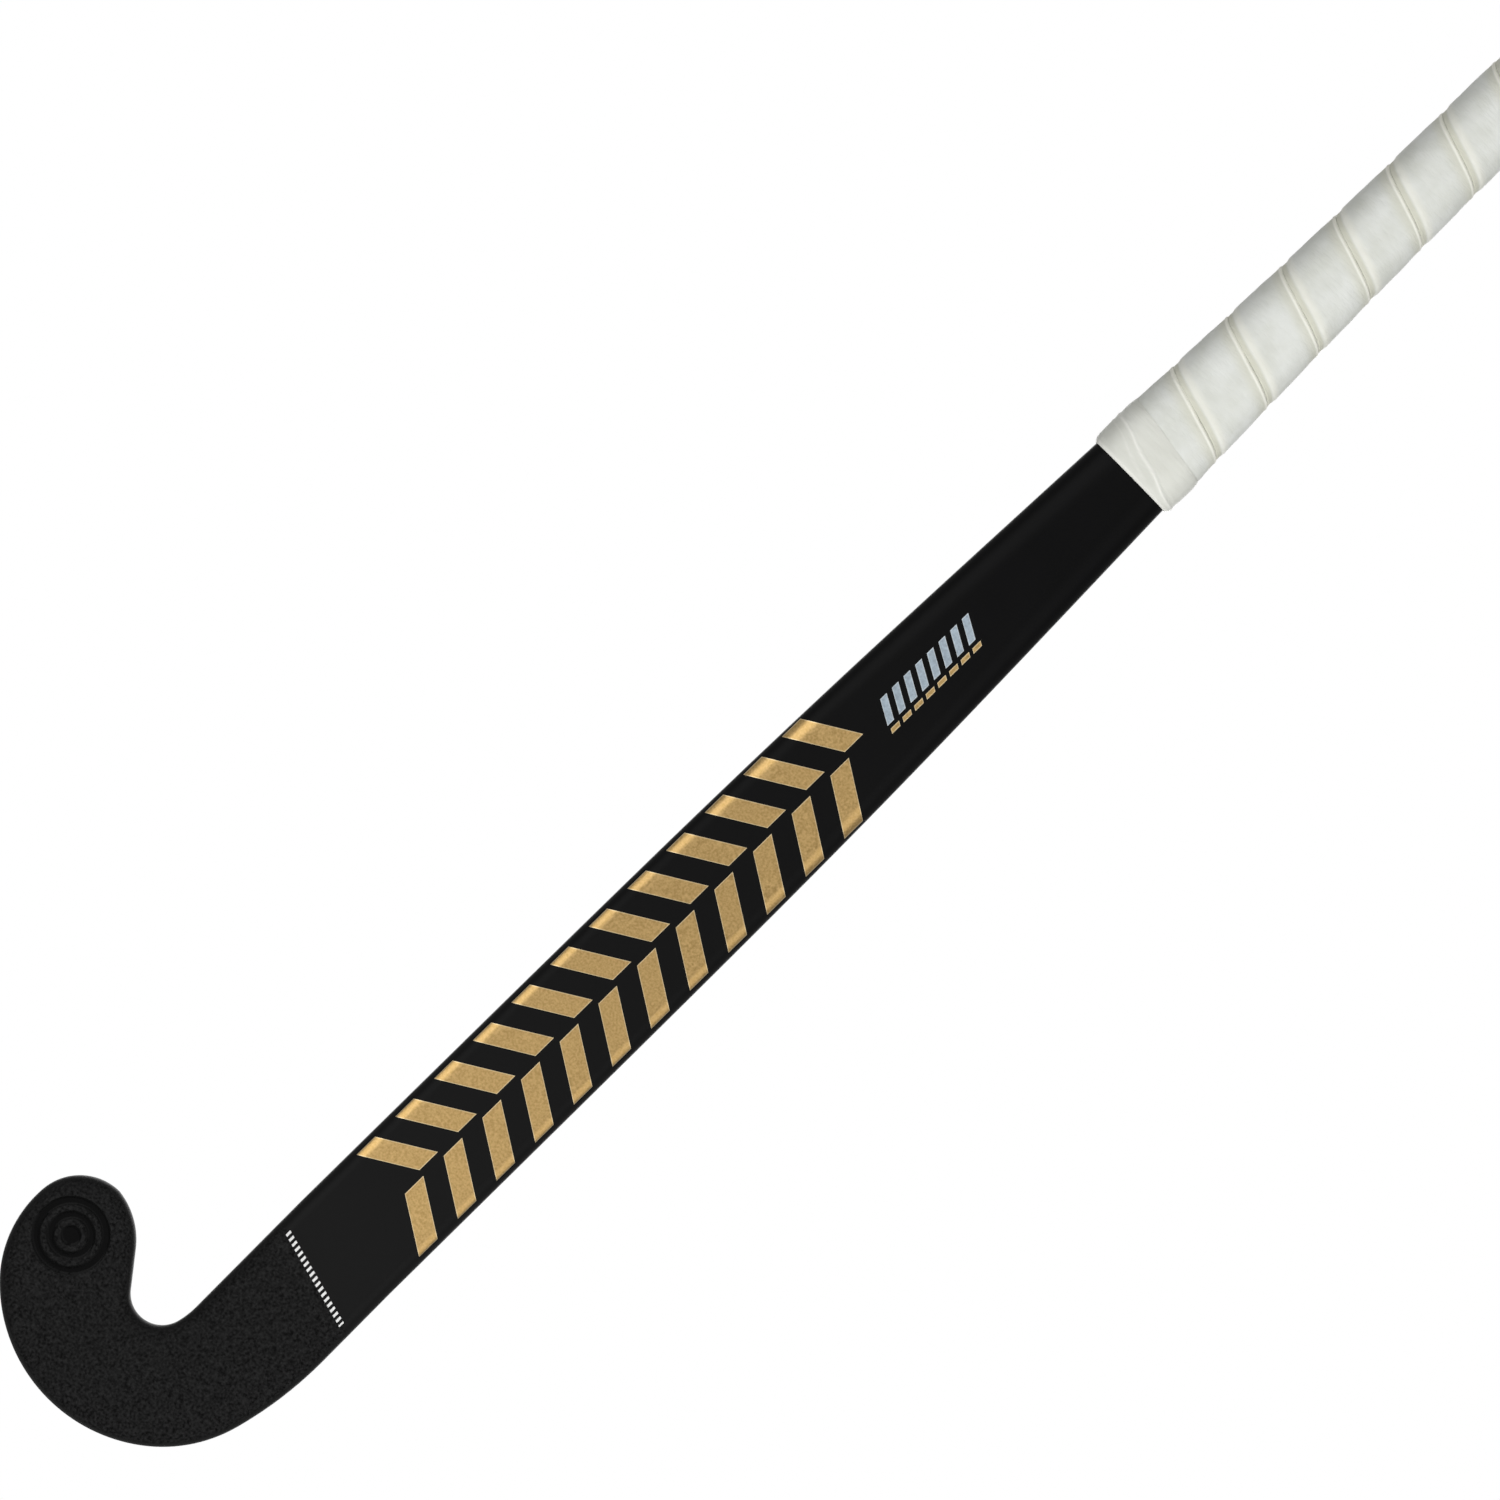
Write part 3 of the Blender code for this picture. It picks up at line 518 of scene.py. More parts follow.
def make_body_lacquer():
    """Black polyurethane lacquer sprayed over the moulded laminate, with sand in it on the head's face.

    The lacquer gives an even satin sheen. Its colour is painted greyer towards the head, a painted light that
    falls off up the shaft.
    The sand breaks it up into dull grains below the printed line. The sand fades out towards the edge of the
    face, a painted shade that leaves the edge smooth and darker, and the rings pressed into the toe stay
    smooth and darker."""
    material, tree, shader = new_material("satin_black_lacquer", Specular_IOR_Level=0.075)
    place = add(tree, "ShaderNodeTexCoord").outputs["Object"]
    x, _, z = add(tree, "ShaderNodeSeparateXYZ", {0: place}).outputs
    above = add(tree, "ShaderNodeMath", {0: x, 1: -COAT_LINE_RISE, 2: z},
                operation="MULTIPLY_ADD").outputs[0]
    line = COAT_LINE_HEIGHT - HAND_HEIGHT
    grit_with_edge_shade = add(tree, "ShaderNodeAttribute", attribute_name="grit_with_edge_shade").outputs["Fac"]
    open_coat = add(tree, "ShaderNodeMapRange", {
        "Value": above, "From Min": line - COAT_LINE_SOFTNESS, "From Max": line + COAT_LINE_SOFTNESS,
        "To Min": grit_with_edge_shade, "To Max": 0.0}).outputs["Result"]
    pressed = add(tree, "ShaderNodeAttribute", attribute_name="pressed").outputs["Fac"]
    grit = add(tree, "ShaderNodeTexNoise", {"Vector": place, "Scale": 1.0 / GRIT_SIZE,
                                            "Detail": 3.0}).outputs["Fac"]
    grains = add(tree, "ShaderNodeMapRange", {"Value": grit, "From Min": 0.32,
                                              "From Max": 0.72}).outputs["Result"]
    cloud = add(tree, "ShaderNodeTexNoise", {"Vector": place,
                                             "Scale": 1.0 / LACQUER_CLOUD_SIZE}).outputs["Fac"]
    clear = add(tree, "ShaderNodeMix", {0: cloud, 6: colour("030303"), 7: colour("060607")},
                data_type="RGBA").outputs[2]
    # Painted light: the lacquer's colour is mixed towards grey at the head and back to clear black higher up
    painted_light_share = add(tree, "ShaderNodeMapRange", {
        "Value": z, "From Min": LACQUER_PAINTED_LIGHT_LOW - HAND_HEIGHT, "From Max": LACQUER_PAINTED_LIGHT_HIGH - HAND_HEIGHT,
        "To Min": 1.0, "To Max": 0.0}).outputs["Result"]
    lacquer = add(tree, "ShaderNodeMix", {0: painted_light_share, 6: clear, 7: colour("131313")},
                  data_type="RGBA").outputs[2]
    sand = add(tree, "ShaderNodeMix", {0: grains, 6: colour("030303"), 7: colour("232323")},
               data_type="RGBA").outputs[2]
    whole = add(tree, "ShaderNodeMix", {0: open_coat, 6: lacquer, 7: sand}, data_type="RGBA").outputs[2]
    base = add(tree, "ShaderNodeMix", {0: pressed, 6: whole, 7: colour("010101")},
               data_type="RGBA").outputs[2]
    tree.links.new(base, shader.inputs["Base Color"])
    rough = add(tree, "ShaderNodeMapRange", {"Value": open_coat, "To Min": 0.43,
                                             "To Max": 0.70}).outputs["Result"]
    smoothed = add(tree, "ShaderNodeMath", {0: pressed, 1: -0.20, 2: rough},
                   operation="MULTIPLY_ADD").outputs[0]
    tree.links.new(smoothed, shader.inputs["Roughness"])
    peel = add(tree, "ShaderNodeTexNoise", {"Vector": place,
                                            "Scale": 1.0 / ORANGE_PEEL_SIZE}).outputs["Fac"]
    peeled = add(tree, "ShaderNodeBump", {"Height": peel, "Distance": ORANGE_PEEL_DEPTH}).outputs["Normal"]
    sanded = add(tree, "ShaderNodeBump", {"Height": grit, "Distance": GRIT_DEPTH, "Strength": open_coat,
                                          "Normal": peeled}).outputs["Normal"]
    tree.links.new(sanded, shader.inputs["Normal"])
    return material


def make_foil(name, deep, light, rim):
    """Aluminium foil, tinted and hot-stamped onto the lacquer through a stippled die.

    It gives a metal sheen that shifts in fine grains, with a painted highlight in a paler colour along its
    edge."""
    material, tree, shader = new_material(name, Metallic=1.0)
    place = add(tree, "ShaderNodeTexCoord").outputs["Object"]
    stipple = add(tree, "ShaderNodeTexNoise", {"Vector": place, "Scale": 1.0 / STIPPLE_SIZE,
                                               "Detail": 3.0}).outputs["Fac"]
    share = add(tree, "ShaderNodeMapRange", {"Value": stipple, "From Min": 0.32,
                                             "From Max": 0.68}).outputs["Result"]
    grained = add(tree, "ShaderNodeMix", {0: share, 6: colour(deep), 7: colour(light)},
                  data_type="RGBA").outputs[2]
    # Painted highlight: a paler colour along the print's border
    edge = add(tree, "ShaderNodeAttribute", attribute_name="rim").outputs["Fac"]
    base = add(tree, "ShaderNodeMix", {0: edge, 6: grained, 7: colour(rim)}, data_type="RGBA").outputs[2]
    tree.links.new(base, shader.inputs["Base Color"])
    rough = add(tree, "ShaderNodeMapRange", {"Value": share, "To Min": 0.30, "To Max": 0.42})
    tree.links.new(rough.outputs["Result"], shader.inputs["Roughness"])
    pressed = add(tree, "ShaderNodeBump", {"Height": stipple, "Distance": STIPPLE_DEPTH}).outputs["Normal"]
    tree.links.new(pressed, shader.inputs["Normal"])
    return material


def make_print_ink():
    """White ink squeezed through a screen: flat and opaque, a little thinner where the mesh stood."""
    material, tree, shader = new_material("white_screen_ink", Roughness=0.55)
    place = add(tree, "ShaderNodeTexCoord").outputs["Object"]
    mesh = add(tree, "ShaderNodeTexNoise", {"Vector": place, "Scale": 1.0 / INK_MESH_SIZE}).outputs["Fac"]
    base = add(tree, "ShaderNodeMix", {0: mesh, 6: colour("c4c4c3"), 7: colour("f2f2f1")},
               data_type="RGBA").outputs[2]
    tree.links.new(base, shader.inputs["Base Color"])
    return material


def make_grip_foam():
    """Polyurethane skin cast on felt and slit into a strip.

    It is matte off-white and softly puckered. It is khaki where skived, a tone of its own that also carries
    painted shade in the groove and on the dip before the upper edge. It is cream at the slit edge, a paler
    tone with a painted highlight on it, and cream on the shoulder rising from the groove, which is a painted
    highlight alone."""
    material, tree, shader = new_material("cast_polyurethane", Roughness=0.62, Specular_IOR_Level=0.35)
    place = add(tree, "ShaderNodeTexCoord").outputs["Object"]
    smudge = add(tree, "ShaderNodeTexNoise", {"Vector": place, "Scale": 1.0 / GRIP_SMUDGE_SIZE,
                                              "Detail": 3.0}).outputs["Fac"]
    share = add(tree, "ShaderNodeMapRange", {"Value": smudge, "From Min": 0.35,
                                             "From Max": 0.68}).outputs["Result"]
    skin = add(tree, "ShaderNodeMix", {0: share, 6: colour("e4e6e1"), 7: colour("d9dbd3")},
               data_type="RGBA").outputs[2]
    # Khaki: the skived strip's tone, with painted shade in the groove and on the dip before the upper edge
    khaki_and_shade_share = add(tree, "ShaderNodeAttribute", attribute_name="khaki").outputs["Fac"]
    shaded = add(tree, "ShaderNodeMix", {0: khaki_and_shade_share, 6: skin, 7: colour("d6d6c7")},
                 data_type="RGBA").outputs[2]
    # Cream: a painted highlight on the slit edge's paler tone and on the shoulder rising from the groove
    pale = add(tree, "ShaderNodeAttribute", attribute_name="cream").outputs["Fac"]
    base = add(tree, "ShaderNodeMix", {0: pale, 6: shaded, 7: colour("f4f3e7")},
               data_type="RGBA").outputs[2]
    tree.links.new(base, shader.inputs["Base Color"])
    pores = add(tree, "ShaderNodeTexNoise", {"Vector": place, "Scale": 1.0 / GRIP_PORE_SIZE}).outputs["Fac"]
    porous = add(tree, "ShaderNodeBump", {"Height": pores, "Distance": GRIP_PORE_DEPTH}).outputs["Normal"]
    drawn = add(tree, "ShaderNodeMapping", {"Vector": place, "Rotation": GRIP_DRAW_TURN,
                                            "Scale": GRIP_DRAW_SCALE}).outputs[0]
    pucker = add(tree, "ShaderNodeTexNoise", {"Vector": drawn, "Scale": 1.0 / GRIP_PUCKER_SIZE,
                                              "Detail": 3.0, "Roughness": 0.58}).outputs["Fac"]
    puckered = add(tree, "ShaderNodeBump", {"Height": pucker, "Distance": GRIP_PUCKER_DEPTH,
                                            "Normal": porous})
    tree.links.new(puckered.outputs["Normal"], shader.inputs["Normal"])
    return material


def make_tape_vinyl():
    """Calendered vinyl tape, stretched on: smoother than the grip, with a weak gloss and stretch lines.

    It is painted paler along the ridges of the creases and at its cut foot, as painted highlights where they
    catch the light."""
    material, tree, shader = new_material("calendered_white_vinyl", Roughness=0.42, Specular_IOR_Level=0.4)
    place = add(tree, "ShaderNodeTexCoord").outputs["Object"]
    drawn = add(tree, "ShaderNodeMapping", {"Vector": place, "Rotation": TAPE_DRAW_TURN,
                                            "Scale": TAPE_DRAW_SCALE}).outputs[0]
    smudge = add(tree, "ShaderNodeTexNoise", {"Vector": drawn, "Scale": 1.0 / TAPE_SMUDGE_SIZE,
                                              "Detail": 3.0}).outputs["Fac"]
    skin = add(tree, "ShaderNodeMix", {0: smudge, 6: colour("e2e3dc"), 7: colour("d2d3c9")},
               data_type="RGBA").outputs[2]
    # Painted highlight: paler along the crease ridges and at the cut foot
    pale = add(tree, "ShaderNodeAttribute", attribute_name="ridge_and_foot_highlight").outputs["Fac"]
    base = add(tree, "ShaderNodeMix", {0: pale, 6: skin, 7: colour("eeeee7")}, data_type="RGBA").outputs[2]
    tree.links.new(base, shader.inputs["Base Color"])
    lines = add(tree, "ShaderNodeTexNoise", {"Vector": drawn,
                                             "Scale": 1.0 / TAPE_STRETCH_SIZE}).outputs["Fac"]
    stretched = add(tree, "ShaderNodeBump", {"Height": lines,
                                             "Distance": TAPE_STRETCH_DEPTH}).outputs["Normal"]
    tree.links.new(stretched, shader.inputs["Normal"])
    return material


def make_plain(name, low, high, size, rough, depth):
    """Two close colours in lumps of a real size, raised by a real depth."""
    material, tree, shader = new_material(name, Roughness=rough)
    place = add(tree, "ShaderNodeTexCoord").outputs["Object"]
    lumps = add(tree, "ShaderNodeTexNoise", {"Vector": place, "Scale": 1.0 / size,
                                             "Detail": 3.0}).outputs["Fac"]
    base = add(tree, "ShaderNodeMix", {0: lumps, 6: colour(low), 7: colour(high)},
               data_type="RGBA").outputs[2]
    tree.links.new(base, shader.inputs["Base Color"])
    raised = add(tree, "ShaderNodeBump", {"Height": lumps, "Distance": depth}).outputs["Normal"]
    tree.links.new(raised, shader.inputs["Normal"])
    return material


# Pieces

def make_body(material):
    """Outer skin up to the open butt, joined there to an inner skin one wall thickness inside it."""
    marks = around(SKIN_STEPS)
    top = OVERALL_LENGTH - CAP_FLANGE_HEIGHT - CLEARANCE
    skin_rows, wall_rows = [np.linspace(HEAD_TOP, top, int((top - HEAD_TOP) / row) + 1)[:, None]
                            for row in (SKIN_ROW, WALL_ROW)]
    outer_head, outer_tip, presses, grit_with_edge_shades = head_points(0.0, marks, SKIN_ROWS, MARK_DEPTH)
    inner_head, inner_tip, _, _ = head_points(SHELL_WALL, marks, WALL_ROWS, 0.0)
    outer = np.concatenate([outer_head, body_points(skin_rows, 0.0, marks)])
    inner = np.concatenate([inner_head, body_points(wall_rows, -SHELL_WALL, marks)])
    pressed, grit_with_edge_shade = np.zeros((2, len(outer) + len(inner), marks.shape[1]))
    pressed[:len(presses)] = presses
    grit_with_edge_shade[:len(grit_with_edge_shades)] = grit_with_edge_shades
    body = loft("laminate_body", np.concatenate([outer, inner[::-1]]), outer_tip, inner_tip,
                attributes={"pressed": pressed, "grit_with_edge_shade": grit_with_edge_shade})
    dress(body, material, "shell_laminate", "outer_shell")


def print_patches(name, patches, material, slot):
    """Thin slabs on the face: each is a grid over x between two lines low(x) and high(x) in height.

    Its top and bottom follow the face's own depth, and its rim attribute, which carries a painted highlight,
    is 1 along the border."""
    points, faces, highlight_rims = [], [], []
    base = 0
    for left, right, low, high in patches:
        columns = max(4, int((right - left) / PRINT_COLUMN))
        middle = np.linspace(left + HIGHLIGHT_RIM_WIDTH, right - HIGHLIGHT_RIM_WIDTH, columns)
        across = np.concatenate([[left], middle, [right]])
        rows = max(3, int((high(left) - low(left)) / PRINT_ROW))
        inset = HIGHLIGHT_RIM_WIDTH / (high(left) - low(left))
        share = np.concatenate([[0.0], np.linspace(inset, 1.0 - inset, rows), [1.0]])
        x, part = np.meshgrid(across, share)
        height = mix(low(x), high(x), part)
        rim = np.zeros(x.shape)
        rim[[0, -1]] = 1.0
        rim[:, [0, -1]] = 1.0
        count = x.size
        for offset in (PRINT_PROUD, -PRINT_SUNK):
            depth, edge_round = section_sizes(height, np.full(x.shape, -1.0), offset)
            inner = 1.0 - np.clip((half_width(height) + offset - np.abs(x)) / edge_round, 0.0, 1.0)
            points.append(placed(x, -depth * np.sqrt(1.0 - inner ** 2), height).reshape(-1, 3))
            highlight_rims.append(rim.reshape(-1))
        index = base + np.arange(count).reshape(x.shape)
        top = np.stack([index[:-1, :-1], index[:-1, 1:], index[1:, 1:], index[1:, :-1]], -1).reshape(-1, 4)
        border = np.concatenate([index[0], index[1:, -1], index[-1, -2::-1], index[-2:0:-1, 0]])
        after = np.roll(border, -1)
        side = np.stack([border, border + count, after + count, after], 1)
        faces.append(np.concatenate([top, top[:, ::-1] + count, side]))
        base += 2 * count
    mesh = bpy.data.meshes.new(name)
    mesh.from_pydata(np.concatenate(points).tolist(), [], np.concatenate(faces).tolist())
    layer = mesh.attributes.new("rim", "FLOAT", "POINT")
    layer.data.foreach_set("value", np.concatenate(highlight_rims).astype(np.float32))
    mesh.shade_smooth()
    mesh.set_sharp_from_angle(angle=math.radians(PRINT_SHARP))
    piece = bpy.data.objects.new(name, mesh)
    bpy.context.scene.collection.objects.link(piece)
    dress(piece, material, slot)


def slanted(x_low, x_high, start, rise, thick):
    """A bar from x_low to x_high whose lower line starts at a height and rises with x."""
    return (x_low, x_high, lambda x: start + rise * (x - x_low),
            lambda x: start + rise * (x - x_low) + thick)


def bar_row(x_low, x_high, start, rise, thick, spacing, count):
    """Bars of one shape, each a spacing above the one before."""
    return [slanted(x_low, x_high, start + spacing * step, rise, thick) for step in range(count)]


def make_prints(gold, silver, white):
    """Gold bars staggered down both halves of the shaft, a small hatched badge, and ticks on the head."""
    bars = bar_row(*TOE_SIDE_BARS) + bar_row(*HEEL_SIDE_BARS)
    line = COAT_LINE_HEIGHT - 0.5 * TICK_HEIGHT
    ticks = [slanted(x, x + TICK_WIDTH, line + COAT_LINE_RISE * x, COAT_LINE_RISE, TICK_HEIGHT)
             for x in np.linspace(*TICK_ENDS, TICK_COUNT)]
    print_patches("gold_bars", bars, gold, "shell_laminate")
    print_patches("silver_bars", bar_row(*BADGE_BARS), silver, "shell_laminate")
    print_patches("gold_dashes", bar_row(*BADGE_DASHES), gold, "shell_laminate")
    print_patches("white_ticks", ticks, white, "shell_laminate")


def strip_profile():
    """Across the strip from its lower edge: distance, outside off the body, khaki share with painted shade
    and cream share with painted highlights.

    Smooth steps lift the outside from the skived edge to the groove beside the next turn and to full
    thickness, and lower it towards the upper edge, where it ends in a small rounded lip."""
    distance = np.concatenate([np.linspace(*run) for run in GRIP_POINTS])
    outside = mix(GRIP_SKIVED_OUTSIDE, GRIP_GROOVE_OUTSIDE, smooth_step(distance, *GRIP_SKIVE_BAND))
    outside = mix(outside, GRIP_FULL_OUTSIDE, smooth_step(distance, *GRIP_SHOULDER_BAND))
    outside -= GRIP_EDGE_DIP * smooth_step(distance, *GRIP_DIP_BAND)
    outside += GRIP_EDGE_LIP * smooth_step(distance, *GRIP_LIP_BAND)
    outside -= GRIP_EDGE_ROUND * smooth_step(distance, *GRIP_ROUND_BAND)
    # Khaki share: the skived edge and the groove, and painted shade on the dip before the upper edge
    groove = 1.0 - smooth_step(distance, *KHAKI_SHADE_GROOVE_BAND)
    edge_shade = smooth_step(distance, *KHAKI_SHADE_EDGE_BAND) - smooth_step(distance, *GRIP_LIP_BAND)
    # Cream share: the slit edge with its painted highlight, and a painted highlight on the rising shoulder
    edge = smooth_step(distance, *CREAM_HIGHLIGHT_EDGE_BAND)
    rise, fall = [smooth_step(distance, *band) for band in HIGHLIGHT_SHOULDER_BANDS]
    return distance, outside, groove + KHAKI_SHADE_EDGE_SHARE * edge_shade, edge + HIGHLIGHT_SHOULDER_SHARE * (rise - fall)


def crease(turn, along):
    """Soft creases pulled along the winding: a few sines of turns and width, from -1 to 1.

    Each sways by a sine of the turns. All of them ease off towards both edges of the strip."""
    across = along / GRIP_PITCH
    waves = sum(size * np.sin(2.0 * math.pi * (per_turn * turn + per_pitch * across
                                               + sway * np.sin(speed * turn)))
                for size, per_turn, per_pitch, sway, speed in GRIP_CREASES)
    rise, fall = [smooth_step(along, *band) for band in GRIP_CREASED_BANDS]
    return waves * rise * (1.0 - fall)


def turn_shares(marks, levels):
    """Share of a turn at each mark round the section, by length, at each of some heights."""
    outline = body_points(levels[:, None], CLEARANCE, marks)
    steps = np.linalg.norm(np.roll(outline, -1, axis=1) - outline, axis=2)
    return (np.cumsum(steps, axis=1) - steps) / steps.sum(axis=1, keepdims=True)


def make_grip(material):
    """One strip wound down the handle: its profile is carried round, a pitch lower with each turn.

    The turn is the share of the section's length passed so far, so that the edges climb evenly. The strip is
    cut off level at the foot and the top, lies on the turn below along its upper edge, and is pressed flat
    under the tape."""
    marks = around(GRIP_STEPS)
    count = marks.shape[1]
    top = OVERALL_LENGTH - CAP_FLANGE_HEIGHT - CLEARANCE
    levels = np.linspace(GRIP_FOOT - GRIP_PITCH, top + GRIP_PITCH, GRIP_LEVELS)
    table = turn_shares(marks, levels)
    seam, ends = turn_shares(marks, np.array([GRIP_SEAM_HEIGHT_ON_FACE, top + GRIP_PITCH]))
    # The mark in the middle of the face, and the mark at which to start so that a seam crosses it there
    middle = int(np.argmin(np.abs(marks[0]) + np.abs(marks[1]) + marks[2]))
    wanted = (seam[middle] - (top - GRIP_SEAM_HEIGHT_ON_FACE) / GRIP_PITCH) % 1.0
    start = int(np.argmin(np.minimum(np.abs(ends - wanted), 1.0 - np.abs(ends - wanted))))

    turns = (top - GRIP_LAP - GRIP_FOOT) / GRIP_PITCH + 1.0
    order = start + np.arange(int(round(turns * count)) + 1)
    mark = order % count
    level = (top + GRIP_PITCH * (1.0 - (order - start) / count) - levels[0]) / (levels[1] - levels[0])
    below = np.clip(level.astype(int), 0, GRIP_LEVELS - 2)
    turned = order // count + mix(table[below, mark], table[below + 1, mark], level - below) - ends[start]
    lower = top - GRIP_LAP - GRIP_PITCH * turned

    distance, outside, khaki, cream = strip_profile()
    inner_distance = np.array([GRIP_WIDTH, GRIP_LAP_BAND[1], GRIP_LAP_BAND[0], 0.5 * GRIP_PITCH, 0.0])
    first = np.clip(GRIP_FOOT - lower, 0.0, None)[:, None]
    last = np.clip(top - lower, None, GRIP_WIDTH)[:, None]
    spread = GRIP_POINT_SPREAD * np.arange(len(distance))
    inner_spread = GRIP_POINT_SPREAD * np.arange(len(inner_distance))
    along = np.clip(distance, first + spread, last - spread[::-1])
    inner_along = np.clip(inner_distance, first + inner_spread[::-1], last - inner_spread)

    lapped = np.where(turned >= 1.0, 1.0, 0.0)[:, None]
    inside, under = [mix(CLEARANCE, GRIP_LAP_INSIDE, lapped * smooth_step(part, *GRIP_LAP_BAND))
                     for part in (inner_along, along)]
    rings = body_points(lower[:, None] + along, 0.0, marks[:, mark][:, :, None])
    tape_edge = TAPE_FOOT + TAPE_WIDTH + TAPE_TOP_RISE * rings[..., 0]
    past_tape = lower[:, None] + along - tape_edge
    offset = np.interp(along, distance, outside) + GRIP_CREASE_DEPTH * crease(turned[:, None], along)
    offset += TAPE_SWELL * np.exp(-(past_tape / TAPE_SWELL_REACH) ** 2)
    free = smooth_step(past_tape, *TAPE_PRESS_BAND)
    offset = mix(mix(under, offset, GRIP_PRESSED_SHARE), offset, free)

    heights = lower[:, None] + np.concatenate([along, inner_along], axis=1)
    offsets = np.concatenate([offset, inside], axis=1)
    rings = body_points(heights, offsets, marks[:, mark][:, :, None])
    hidden = np.zeros(inside.shape)
    # Khaki with painted shade, and cream with painted highlights, carried along the strip
    dull = np.concatenate([np.interp(along, distance, khaki), hidden], axis=1)
    pale = np.concatenate([np.interp(along, distance, cream), hidden], axis=1)
    grip = loft("wound_grip", rings[:, ::-1], rings[0].mean(axis=0), rings[-1].mean(axis=0),
                attributes={"khaki": dull[:, ::-1], "cream": pale[:, ::-1]}, sharp=70.0)
    dress(grip, material, "grip_cushion", "grip_tape")


def bells(lines, shapes):
    """Sum over the crease lines of share exp(-((distance - middle) / width)^2)."""
    return sum(share * np.exp(-((distance - middle) / width) ** 2)
               for distance, (share, middle, width) in zip(lines, shapes))


def make_tape(material):
    """Collar of tape: a sleeve that steps up from the lacquer, swells over the grip and sinks into it.

    Bell-shaped ridges and troughs along two slanted, slightly waved lines make its creases."""
    marks = around(TAPE_STEPS)
    across = body_points(TAPE_FOOT + 0.5 * TAPE_WIDTH, CLEARANCE, marks)[:, 0]
    outside, inside = np.array(TAPE_OUTSIDE), np.array(TAPE_INSIDE)
    rows = np.unique(np.concatenate([outside[:, 0], np.linspace(TAPE_FINE_FROM, TAPE_WIDTH, TAPE_FINE_ROWS)]))
    stretch = 1.0 + TAPE_TOP_RISE * across / TAPE_WIDTH
    height = TAPE_FOOT + rows[:, None] * stretch
    slant = (height - TAPE_CREASE_HEIGHT - TAPE_CREASE_RISE * across
             - TAPE_CREASE_WAVE * np.sin(across / TAPE_CREASE_WAVELENGTH))
    second = slant + TAPE_SECOND_DROP + TAPE_SECOND_FALL * (across - TAPE_SECOND_X)
    rise, fall = [smooth_step(rows, *band)[:, None] for band in TAPE_CREASED_BANDS]
    ease = rise * (1.0 - fall)
    drawn = bells((slant, second), TAPE_RIDGES) * ease
    slack = bells((slant, second), TAPE_TROUGHS) * ease
    offset = (np.interp(rows, outside[:, 0], outside[:, 1])[:, None]
              + TAPE_RIDGE_HEIGHT * drawn - TAPE_TROUGH_DEPTH * slack)
    outer = body_points(height, offset, marks)
    inner = body_points(TAPE_FOOT + inside[:, :1] * stretch, inside[:, 1:], marks)
    # Painted highlights on the ridges of the creases and on the cut foot
    cut_foot_highlight = 1.0 - smooth_step(rows, *TAPE_CUT_HIGHLIGHT_BAND)
    ridge_and_foot_highlight = np.concatenate([np.maximum(drawn, cut_foot_highlight[:, None]), np.zeros(inner.shape[:2])])
    tape = loft("tape_collar", np.concatenate([outer, inner]), wrap=True, sharp=60.0,
                attributes={"ridge_and_foot_highlight": ridge_and_foot_highlight})
    dress(tape, material, "white_tape", "finishing_tape")


def make_cap(material):
    """Butt cap: a spigot, a flange as wide as the grip and a quarter round up to a flat top."""
    marks = around(GRIP_STEPS)
    foot = OVERALL_LENGTH - CAP_FLANGE_HEIGHT
    bore = -SHELL_WALL - CLEARANCE
    rings = [body_points(foot - CAP_SPIGOT_LENGTH, bore, marks), body_points(foot, bore, marks),
             body_points(foot, CAP_REACH, marks)]
    for angle in np.linspace(0.0, 0.5 * math.pi, CAP_ROUND_STEPS):
        ring = body_points(foot, CAP_REACH - CAP_EDGE_ROUND * (1.0 - math.cos(angle)), marks)
        ring[:, 2] = OVERALL_LENGTH - CAP_EDGE_ROUND * (1.0 - math.sin(angle)) - HAND_HEIGHT
        rings.append(ring)
    rim, centre = rings[-1], rings[-1].mean(axis=0)
    rings += [mix(centre, rim, share) for share in CAP_TOP_SHARES]
    cap = loft("butt_cap", np.array(rings), rings[0].mean(axis=0), centre)
    dress(cap, material, "cap_rubber", "end_cap")


# Studio

def look_at(location, target):
    """Turn that points an object's -Z at a target."""
    return (Vector(target) - Vector(location)).to_track_quat("-Z", "Y").to_matrix().to_4x4()


def soft_box(name, location, size, watts, diffuse=True, glossy=True):
    """A square area lamp aimed at the middle of the picture, which the camera doesn't see.

    Off for diffuse rays, it shows only as a sheen. Off for glossy rays, it gives light without a sheen."""
    lamp = bpy.data.lights.new(name, "AREA")
    lamp.shape = "SQUARE"
    lamp.size = size
    lamp.energy = watts
    holder = bpy.data.objects.new(name, lamp)
    holder.matrix_world = Matrix.Translation(location) @ look_at(location, LIT_POINT)
    holder.visible_camera = False
    holder.visible_diffuse = diffuse
    holder.visible_glossy = glossy
    bpy.context.scene.collection.objects.link(holder)


